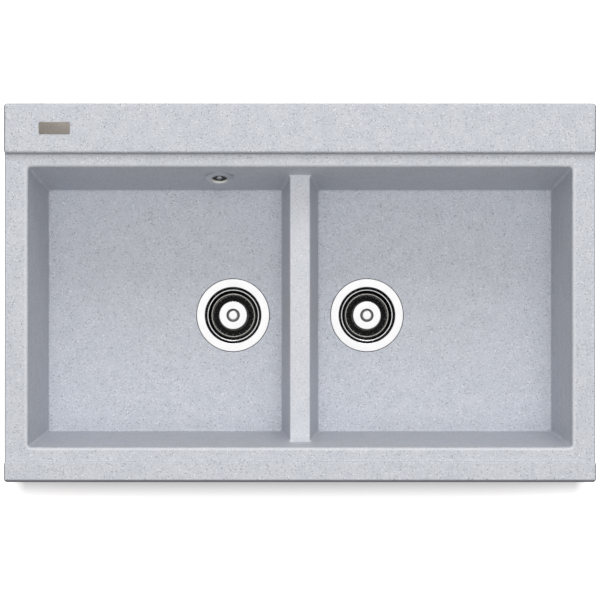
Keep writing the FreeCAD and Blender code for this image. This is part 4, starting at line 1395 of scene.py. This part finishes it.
@dataclass
class Overflow:
    """Rosette in the left bowl's back wall, the elbow behind it and the hose to the waste cup."""

    ring: Program
    hose: Program
    seat: Corner = (-119.1, 172.936, -57.0)
    tilt: float = 21.6
    rim_r: float = 20.0
    mouth_r: float = 11.2
    height: float = 3.2
    sheet: float = 1.4
    flare: float = 0.9
    depth: float = 3.0
    sleeve_wall: float = 1.2
    hub_bore: float = 2.1
    hub_r: float = 5.2
    spokes: int = 4
    spoke_width: float = 3.4
    screw_r: float = 2.0
    screw_head_r: float = 3.8
    screw_head: float = 3.0
    screw_length: float = 32.0
    hose_r: float = 13.2
    hose_bore: float = 11.8
    hose_wave: float = 0.8
    hose_pitch: float = 4.4
    hose_bend_r: float = 45.0
    cuff: float = 21.0
    clip_r: float = 14.3
    clip_half: float = 4.5
    clip_teeth: int = 54
    clip_inset: float = 10.0
    housing_r: float = 20.0
    housing_half: float = 4.4
    worm_r: float = 2.6
    worm_x: float = 17.6
    route: tuple[Corner, ...] = (
        (-119.1, 200.829, -98.044),
        (-119.1, 200.829, -229.5),
        (-106.76, 25.668, -229.5),
    )

    @property
    def place(self) -> Matrix:
        """Where the overflow's own frame lies, with +Z out into the bowl."""
        turn = Matrix.Rotation(math.radians(90.0 - self.tilt), 4, "X")
        return Matrix.Translation(Vector(self.seat) * MM) @ turn

    def build(self) -> None:
        """Builds the pieces from the bowl outwards."""
        self.rosette()
        self.screw()
        gasket = turned("overflow_ring_gasket", rectangle(14, 22, -13, -11, 0.4), self.place)
        fit(gasket, RUBBER, "overflow_gasket")
        fit(smoothed_copy("overflow_housing", "overflow_elbow"), PLASTIC, "overflow_elbow")
        self.line()
        self.clips()

    def rosette(self) -> None:
        """Domed rim with a flared mouth, and spokes and hub sunk in its sleeve."""
        mouth, rim, top = self.mouth_r, self.rim_r, self.height
        low, high = -self.depth, self.sheet - self.depth
        lip, sleeve = mouth + self.flare, mouth + self.sleeve_wall
        dome = [
            (mouth, low, 0.2), (sleeve, low, 0.2), (sleeve, 0.0, 0.0), (rim, 0.0, 0.0),
            (rim, top - self.sheet, 1.3), (lip, top, 0.65), (mouth, 0.0, 0.8),
        ]
        hub = rectangle(self.hub_bore, self.hub_r, low, high, 0.0, 0.2, 0.4, 0.2)
        half = self.spoke_width / 2
        across = rectangle(self.hub_r - 0.6, mouth + self.sleeve_wall / 2, -half, half)
        spoke = softened(prism("spoke", across, low + 0.05, high - 0.05), 0.3)
        spokes = self.ring.run(spoke, Count=self.spokes, First_angle=math.pi / self.spokes)
        parts = [turned("dome", dome), turned("hub", hub, STILL, 48), spokes]
        made = united("overflow_grille", parts, self.place)
        fit(made, STEEL_SATIN, "overflow_rosette")
        # Painted shade: the mouth's inside, spokes and hub take the darker steel.
        accent(made, self.place, STEEL_PAINTED_SHADE, lambda r, z: r < mouth - 0.1 and z < 0.0)
        # Painted highlight: the mouth's flared lip takes the white plastic.
        accent(made, self.place, PLASTIC, lambda r, z: mouth - 0.2 < r < lip + 0.2 and z > 1.0)

    def screw(self) -> None:
        """Dome head screw with a slot."""
        low = self.sheet - self.depth
        top, end = low + self.screw_head, low - self.screw_length
        shank, head = self.screw_r, self.screw_head_r
        outline = [
            (0.0, end, 0.0), (shank, end, 0.3), (shank, low, 0.0), (head - 0.7, low, 0.2),
            (head, low + 1.2, 1.2), (head, top, 1.8), (0.0, top, 0.0),
        ]
        slot = prism("slot", rectangle(-5.0, 5.0, -0.5, 0.5), top - 1.0, top + 1)
        made = cut(turned("slotted_screw", outline, STILL, 48, 8), slot)
        made.data.transform(self.place)
        fit(made, STEEL_POLISHED, "overflow_screw")

    def line(self) -> None:
        """Corrugated hose with plain cuffs."""
        top, corner, end = (Vector(point) for point in self.route)
        bend, steps = self.hose_bend_r, 12
        ahead = (end - corner).normalized()
        centre = corner + Vector((0, 0, bend)) + ahead * bend
        path = [top]
        for step in range(steps + 1):
            angle = math.pi / 2 * step / steps
            drop = Vector((0, 0, bend * math.sin(angle)))
            path.append(centre - ahead * bend * math.cos(angle) - drop)
        path.append(end)
        curve = bpy.data.curves.new("overflow_hose_path", "CURVE")
        curve.dimensions = "3D"
        spline = curve.splines.new("POLY")
        spline.points.add(len(path) - 1)
        for point, spot in zip(spline.points, path):
            point.co = (*(spot * MM), 1.0)
        made = self.hose.run(
            placed("corrugated_overflow_hose", curve),
            Radius=self.hose_r * MM,
            Wave=self.hose_wave * MM,
            Pitch=self.hose_pitch * MM,
            Cuff=self.cuff * MM,
            Bore=self.hose_bore * MM,
        )
        fit(made, HOSE_PLASTIC, "overflow_hose")

    def clips(self) -> None:
        """Two worm drive clips: band, teeth, housing and screw."""
        top, corner, end = (Vector(point) for point in self.route)
        ahead, up = (end - corner).normalized(), Vector((0, 0, 1))
        inner, half = self.clip_r, self.clip_half
        outer = inner + 0.9
        parts = []
        for last, way in ((top, up), (end, ahead)):
            band = rectangle(inner, outer, -half, half, 0.0, 0.3, 0.3, 0.0)
            tooth = prism("tooth", rectangle(outer - 0.1, outer + 0.25, -0.35, 0.35), -2.6, 2.6)
            teeth = self.ring.run(tooth, Count=self.clip_teeth)
            across = rectangle(inner + 0.6, self.housing_r, -half, half)
            box = prism("box", across, -self.housing_half, self.housing_half)
            screw = rectangle(0.0, self.worm_r, -6.0, 5.6, 0.0, 0.4, 0.5, 0.0)
            worm = turned("worm", screw, at(self.worm_x, way=Vector((0, 1, 0))), 32)
            pieces = [turned("band", band, STILL, 72), teeth, softened(box, 0.7, 3), worm]
            parts.append(united("clip", pieces, at(*(last - way * self.clip_inset), way)))
        fit(united("worm_drive_clips", parts), ZINC, "hose_clips")


@dataclass
class WasteRun:
    """Cups under the drains, the tee between them, the bottle trap and its outlet."""

    ring: Program
    pipe_r: float = 20.0
    nut_r: float = 26.9
    nut_bore: float = 23.3
    nut_low: float = -9.0
    nut_shelf: float = 3.0
    nut_top: float = 6.0
    nut_ribs: int = 12
    mouth_r: float = 20.3
    trap_bottom: float = -363.2
    cup_r: float = 40.3
    cup_bottom: float = -420.2
    cup_wall: float = 3.0
    cup_bore: float = 36.3
    cup_ledge: float = 30.0
    cup_flutes: int = 36
    outlet: Point = (14.3, 164.3)
    outlet_z: float = -325.2
    bead: Point = (40.3, 43.3)
    # Middle of each slip joint and the way its nut faces.
    joints: tuple[tuple[Corner, Corner], ...] = (
        ((-33.11, -27.7, -247.0), (1.0, 0.0, 0.0)),
        ((33.11, -27.7, -247.0), (-1.0, 0.0, 0.0)),
        ((0.0, -27.7, -274.7), (0.0, 0.0, 1.0)),
        ((0.0, 30.3, -325.2), (0.0, 1.0, 0.0)),
    )

    def build(self) -> None:
        """Builds the run from the cups down."""
        for side in Side:
            self.cup_under(side)
        for piece, node in (
            ("swept_tee", "waste_tee"),
            ("bottle_trap_body", "trap_body"),
            ("dip_tube", "trap_dip_tube"),
        ):
            fit(smoothed_copy(piece, node), PLASTIC, node)
        self.nuts()
        self.trap_cup()
        self.outlet_pipe()

    def cup_under(self, side: Side) -> None:
        """One waste cup with its gasket and nut.

        Args:
            side: Bowl that the cup hangs under.
        """
        label, place = side.label, drain_place(side)
        node = f"{label}_waste_cup"
        fit(smoothed_copy(f"{label}_ribbed_cup", node), PLASTIC, node)
        made = turned(f"{label}_cup_ring", rectangle(47.0, 56.5, -13.0, -10.0, 0.6), place)
        fit(made, RUBBER, f"{label}_cup_gasket")
        low, high = (corner.z / MM - FLOOR_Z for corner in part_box(f"{label}_cup_nut"))
        nut = rectangle(3.1, 5.1, low, high, 0.2, 0.3, 0.3, 0.2)
        made = turned(f"{label}_insert_nut", nut, place, 48)
        fit(made, BRASS, f"{label}_cup_nut")

    def nuts(self) -> None:
        """Four slip nuts with grip ribs, and their washers."""
        bore, outer, mouth = self.nut_bore, self.nut_r, self.mouth_r
        low, shelf, top = self.nut_low, self.nut_shelf, self.nut_top
        outline = [
            (bore, low, 0.4), (outer, low, 0.6), (outer, top - 1.4, 1.4), (outer - 1.8, top, 0.6),
            (mouth, top, 0.3), (mouth, shelf, 0.0), (bore, shelf, 0.0),
        ]
        grip = rectangle(outer - 1.2, outer + 1.2, -2.0, 2.0, 0.8)
        shells, washers = [], []
        for spot, way in self.joints:
            place = at(*spot, Vector(way))
            rib = softened(prism("rib", grip, low, shelf, bend=4), 0.5)
            ribs = self.ring.run(rib, Count=self.nut_ribs)
            shells.append(united("nut", [turned("nut", outline), ribs], place))
            seal = rectangle(mouth, bore - 0.3, 0.0, shelf, 0.3)
            washers.append(turned("washer", seal, place, 72))
        fit(united("ribbed_slip_nuts", shells), PLASTIC, "slip_nuts")
        fit(united("slip_joint_washers", washers), RUBBER, "slip_washers")

    def trap_cup(self) -> None:
        """Screwed cup of the bottle trap with grip flutes, and its seal."""
        place = at(0.0, DRAIN_Y, 0.0)
        trap, low, outer = self.trap_bottom, self.cup_bottom, self.cup_r
        top, shelf, inside = trap + 12.0, trap - 2.5, low + self.cup_wall
        bore, ledge = self.cup_bore, self.cup_ledge
        outline = [
            (0.0, low, 0.0), (outer - 12.0, low, 6.0), (outer - 6.0, shelf - 3.0, 0.4),
            (outer, shelf - 3.0, 0.8), (outer, top, 0.9), (bore, top, 0.3), (bore, shelf, 0.0),
            (ledge, shelf, 0.4), (outer - 15.0, inside, 3.0), (0.0, inside, 0.0),
        ]
        body = turned("body", outline, STILL, 120)
        grip = rectangle(outer - 1.2, outer + 0.6, -1.3, 1.3, 0.5)
        rib = softened(prism("rib", grip, shelf - 2.6, top - 1.2, bend=3), 0.35)
        ribs = self.ring.run(rib, Count=self.cup_flutes)
        fit(united("fluted_trap_cup", [body, ribs], place), PLASTIC, "trap_cup")
        seal = turned("trap_ring_seal", rectangle(33.0, 36.0, shelf, trap, 0.4), place)
        fit(seal, RUBBER, "trap_cup_seal")

    def outlet_pipe(self) -> None:
        """Pipe to the wall with its stop bead and a chamfered end."""
        start, end = self.outlet
        bore, wall, bead = self.pipe_r - 2.0, self.pipe_r, self.pipe_r + 1.5
        near, far = self.bead
        outline = [
            (bore, start, 0.3), (wall, start, 0.3), (wall, near, 0.4), (bead, near, 0.6),
            (bead, far, 0.6), (wall, far, 0.4), (wall, end - 1.5, 0.2), (wall - 1.0, end, 0.2),
            (bore, end, 0.3),
        ]
        made = turned("waste_outlet_pipe", outline, at(z=self.outlet_z, way=Vector((0, 1, 0))))
        fit(made, PLASTIC, "trap_outlet_pipe")


@dataclass
class Clamps:
    """Eight mounting clamps: stamped arm, long screw with its thread, insert in the stone."""

    thread: Program
    places: tuple[float, ...] = (-340.0, -190.0, 190.0, 340.0)
    back_y: float = 245.0
    front_y: float = -248.75
    arm_low: float = -39.0
    arm_high: float = -36.0
    toe_top: float = -28.0
    reach: float = 32.0
    width: float = 18.0
    hole_r: float = 2.8
    screw_r: float = 2.5
    screw_top: float = -3.0
    head_r: float = 5.5
    pitch: float = 0.9
    thread_length: float = 20.0
    thread_depth: float = 0.35
    insert_bore: float = 2.6
    insert_r: float = 4.0
    insert_low: float = -14.0
    insert_high: float = -2.0

    def build(self) -> None:
        """Builds the arms one by one, then the screws and inserts."""
        screws, inserts, starts = [], [], []
        heights = (self.insert_low, self.insert_high)
        brass = rectangle(self.insert_bore, self.insert_r, *heights, 0.2, 0.3, 0.3, 0.2)
        for row in Row:
            y = self.back_y if row is Row.BACK else self.front_y
            for number, x in enumerate(self.places, start=1):
                self.arm(f"{row.label}_{number}", x, y)
                screws.append(self.screw(x, y))
                starts.append(Vector((x, y, self.arm_high + 1.0)) * MM)
                inserts.append(turned("insert", brass, at(x, y), 36))
        points = bpy.data.meshes.new("screw_places")
        points.from_pydata(starts, [], [])
        wound = self.thread.run(
            placed("thread", points),
            Radius=self.screw_r * MM,
            Pitch=self.pitch * MM,
            Length=self.thread_length * MM,
            Depth=self.thread_depth * MM,
        )
        fit(united("threaded_clamp_screws", [*screws, wound]), ZINC, "clamp_screws")
        fit(united("stone_inserts", inserts), BRASS, "clamp_inserts")

    def arm(self, label: str, x: float, y: float) -> None:
        """One stamped arm with its toe turned up and a pressed rib.

        Args:
            label: Row and number of the clamp.
            x: Place of its screw along X.
            y: Place of its screw along Y.
        """
        half, reach, high = self.width / 2, self.reach, self.arm_high
        heel = half - 0.3
        plan = rectangle(-half, reach, -half, half, heel, 2.0, 2.0, heel)
        plate = prism("plate", plan, self.arm_low, high, bend=8)
        hole = turned("hole", rectangle(0, self.hole_r, -45, -30), STILL, 32)
        toe = rectangle(reach - 3.0, reach, -half + 2.0, half - 2.0, 0.4)
        rib = rectangle(8.0, reach - 6.0, -1.6, 1.6, 1.5)
        parts = [
            softened(cut(plate, hole), 0.5),
            softened(prism("toe", toe, high - 0.5, self.toe_top, bend=3), 0.5),
            softened(prism("rib", rib, high - 0.3, high + 0.9), 0.5),
        ]
        turn = Matrix.Rotation(0.0 if x > 0 else math.pi, 4, "Z")
        made = united(f"stamped_arm_{label}", parts, at(x, y) @ turn)
        fit(made, ZINC, f"clamp_arm_{label}", f"clamp_{label}")

    def screw(self, x: float, y: float) -> Piece:
        """One slotted screw without its thread.

        Args:
            x: Place along X.
            y: Place along Y.

        Returns:
            The screw.
        """
        head, shank, top = self.arm_low - 0.3, self.screw_r, self.screw_top
        low = head - 4.0
        outline = [
            (0.0, low, 0.0), (self.head_r, low, 1.0), (self.head_r, head, 0.3),
            (shank, head, 0.2), (shank, top - 0.6, 0.0), (shank - 0.6, top, 0.0), (0.0, top, 0.0),
        ]
        made = turned("screw", outline, at(x, y), 36)
        slot = rectangle(-6.0, 6.0, -0.7, 0.7)
        return cut(made, prism("slot", slot, low - 1.0, low + 1.6, at(x, y)))


@dataclass
class Studio:
    """Camera straight above, soft boxes, a card that the steel mirrors and a pale paper floor."""

    camera_y: float = -0.116
    camera_z: float = 3.420
    rim_z: float = 0.010
    # Over the rim the picture has 0.688 pixels to the millimetre.
    pixels_per_metre: float = 688.0
    picture: int = 600
    sensor: float = 36.0
    shift_pixels: float = 72.6
    aim: Corner = (0.0, 0.0, -0.1)
    key_spot: Corner = (0.15, -0.25, 6.0)
    key_size: float = 2.6
    key_power: float = 168.0
    rear_spot: Corner = (0.35, 4.35, 3.65)
    rear_size: float = 2.6
    rear_power: float = 96.0
    card_spot: Corner = (0.0, 0.2, 1.9)
    card_size: float = 2.4
    card_glow: float = 0.84
    surround_tint: str = "#FFF9F2"
    # Strength of the surround before and behind the sink.
    surround: Point = (0.23, 0.48)
    floor_radius: float = 16.0

    def build(self) -> None:
        """Sets up camera, light and floor."""
        self.camera()
        self.light()
        self.floor()

    def camera(self) -> None:
        """Camera with its optical axis straight down."""
        data = bpy.data.cameras.new("top camera")
        data.sensor_width = self.sensor
        distance = self.camera_z - self.rim_z
        data.lens = self.pixels_per_metre * distance / self.picture * self.sensor
        data.shift_y = self.shift_pixels / self.picture
        data.clip_start, data.clip_end = 0.1, 100.0
        data.dof.use_dof = False
        made = placed("top camera", data)
        made.location = (0.0, self.camera_y, self.camera_z)
        bpy.context.scene.camera = made

    def light(self) -> None:
        """Key box overhead, rear box, mirrored card and a surround that is brighter behind."""
        key = self.lamp("key box", self.key_spot, self.key_size, self.key_power)
        key.visible_glossy = False
        self.lamp("rear box", self.rear_spot, self.rear_size, self.rear_power)
        power = self.card_glow * math.pi * self.card_size**2
        card = self.lamp("mirrored card", self.card_spot, self.card_size, power)
        card.visible_diffuse = False
        world = bpy.data.worlds.new("surround")
        world.use_nodes = True
        net = Net(world.node_tree)
        depth = net.add("ShaderNodeSeparateXYZ", (net.add(SPOT, give="Generated"),), "Y")
        strength = net.add(MAP, (depth, -1.0, 1.0, *self.surround))
        back = net.tree.nodes["Background"]
        back.inputs["Color"].default_value = linear(self.surround_tint)
        net.tree.links.new(strength, back.inputs["Strength"])
        bpy.context.scene.world = world
        bpy.context.scene.view_settings.view_transform = "Standard"

    def lamp(self, name: str, spot: Corner, size: float, power: float) -> Piece:
        """Hangs one square soft box that faces the sink.

        Args:
            name: Name of the lamp.
            spot: Its place in metres.
            size: Its side in metres.
            power: Its power in watts.

        Returns:
            The lamp.
        """
        data = bpy.data.lights.new(name, "AREA")
        data.shape = "SQUARE"
        data.size = size
        data.energy = power
        made = placed(name, data)
        made.location = spot
        way = Vector(self.aim) - Vector(spot)
        made.rotation_euler = way.to_track_quat("-Z", "Y").to_euler()
        made.visible_camera = False
        return made

    def floor(self) -> None:
        """Wide pale floor under the lowest piece."""
        mesh = bmesh.new()
        bmesh.ops.create_circle(mesh, cap_ends=True, radius=self.floor_radius, segments=64)
        data = bpy.data.meshes.new("paper_floor")
        mesh.to_mesh(data)
        mesh.free()
        data.materials.append(PAPER.material())
        made = placed("paper_floor", data)
        made.location.z = frame_box[0].z
        made.visible_diffuse = False


def main() -> None:
    """Builds every sub-assembly in order."""
    logging.basicConfig(level=logging.INFO, format="%(name)s: %(message)s")
    ring = ring_program()
    Studio().build()
    Moulding().build()
    for side in Side:
        BasketStrainer(side, ring).build()
    Overflow(ring, hose_program()).build()
    WasteRun(ring).build()
    Clamps(thread_program()).build()


if __name__ == "__main__":
    main()
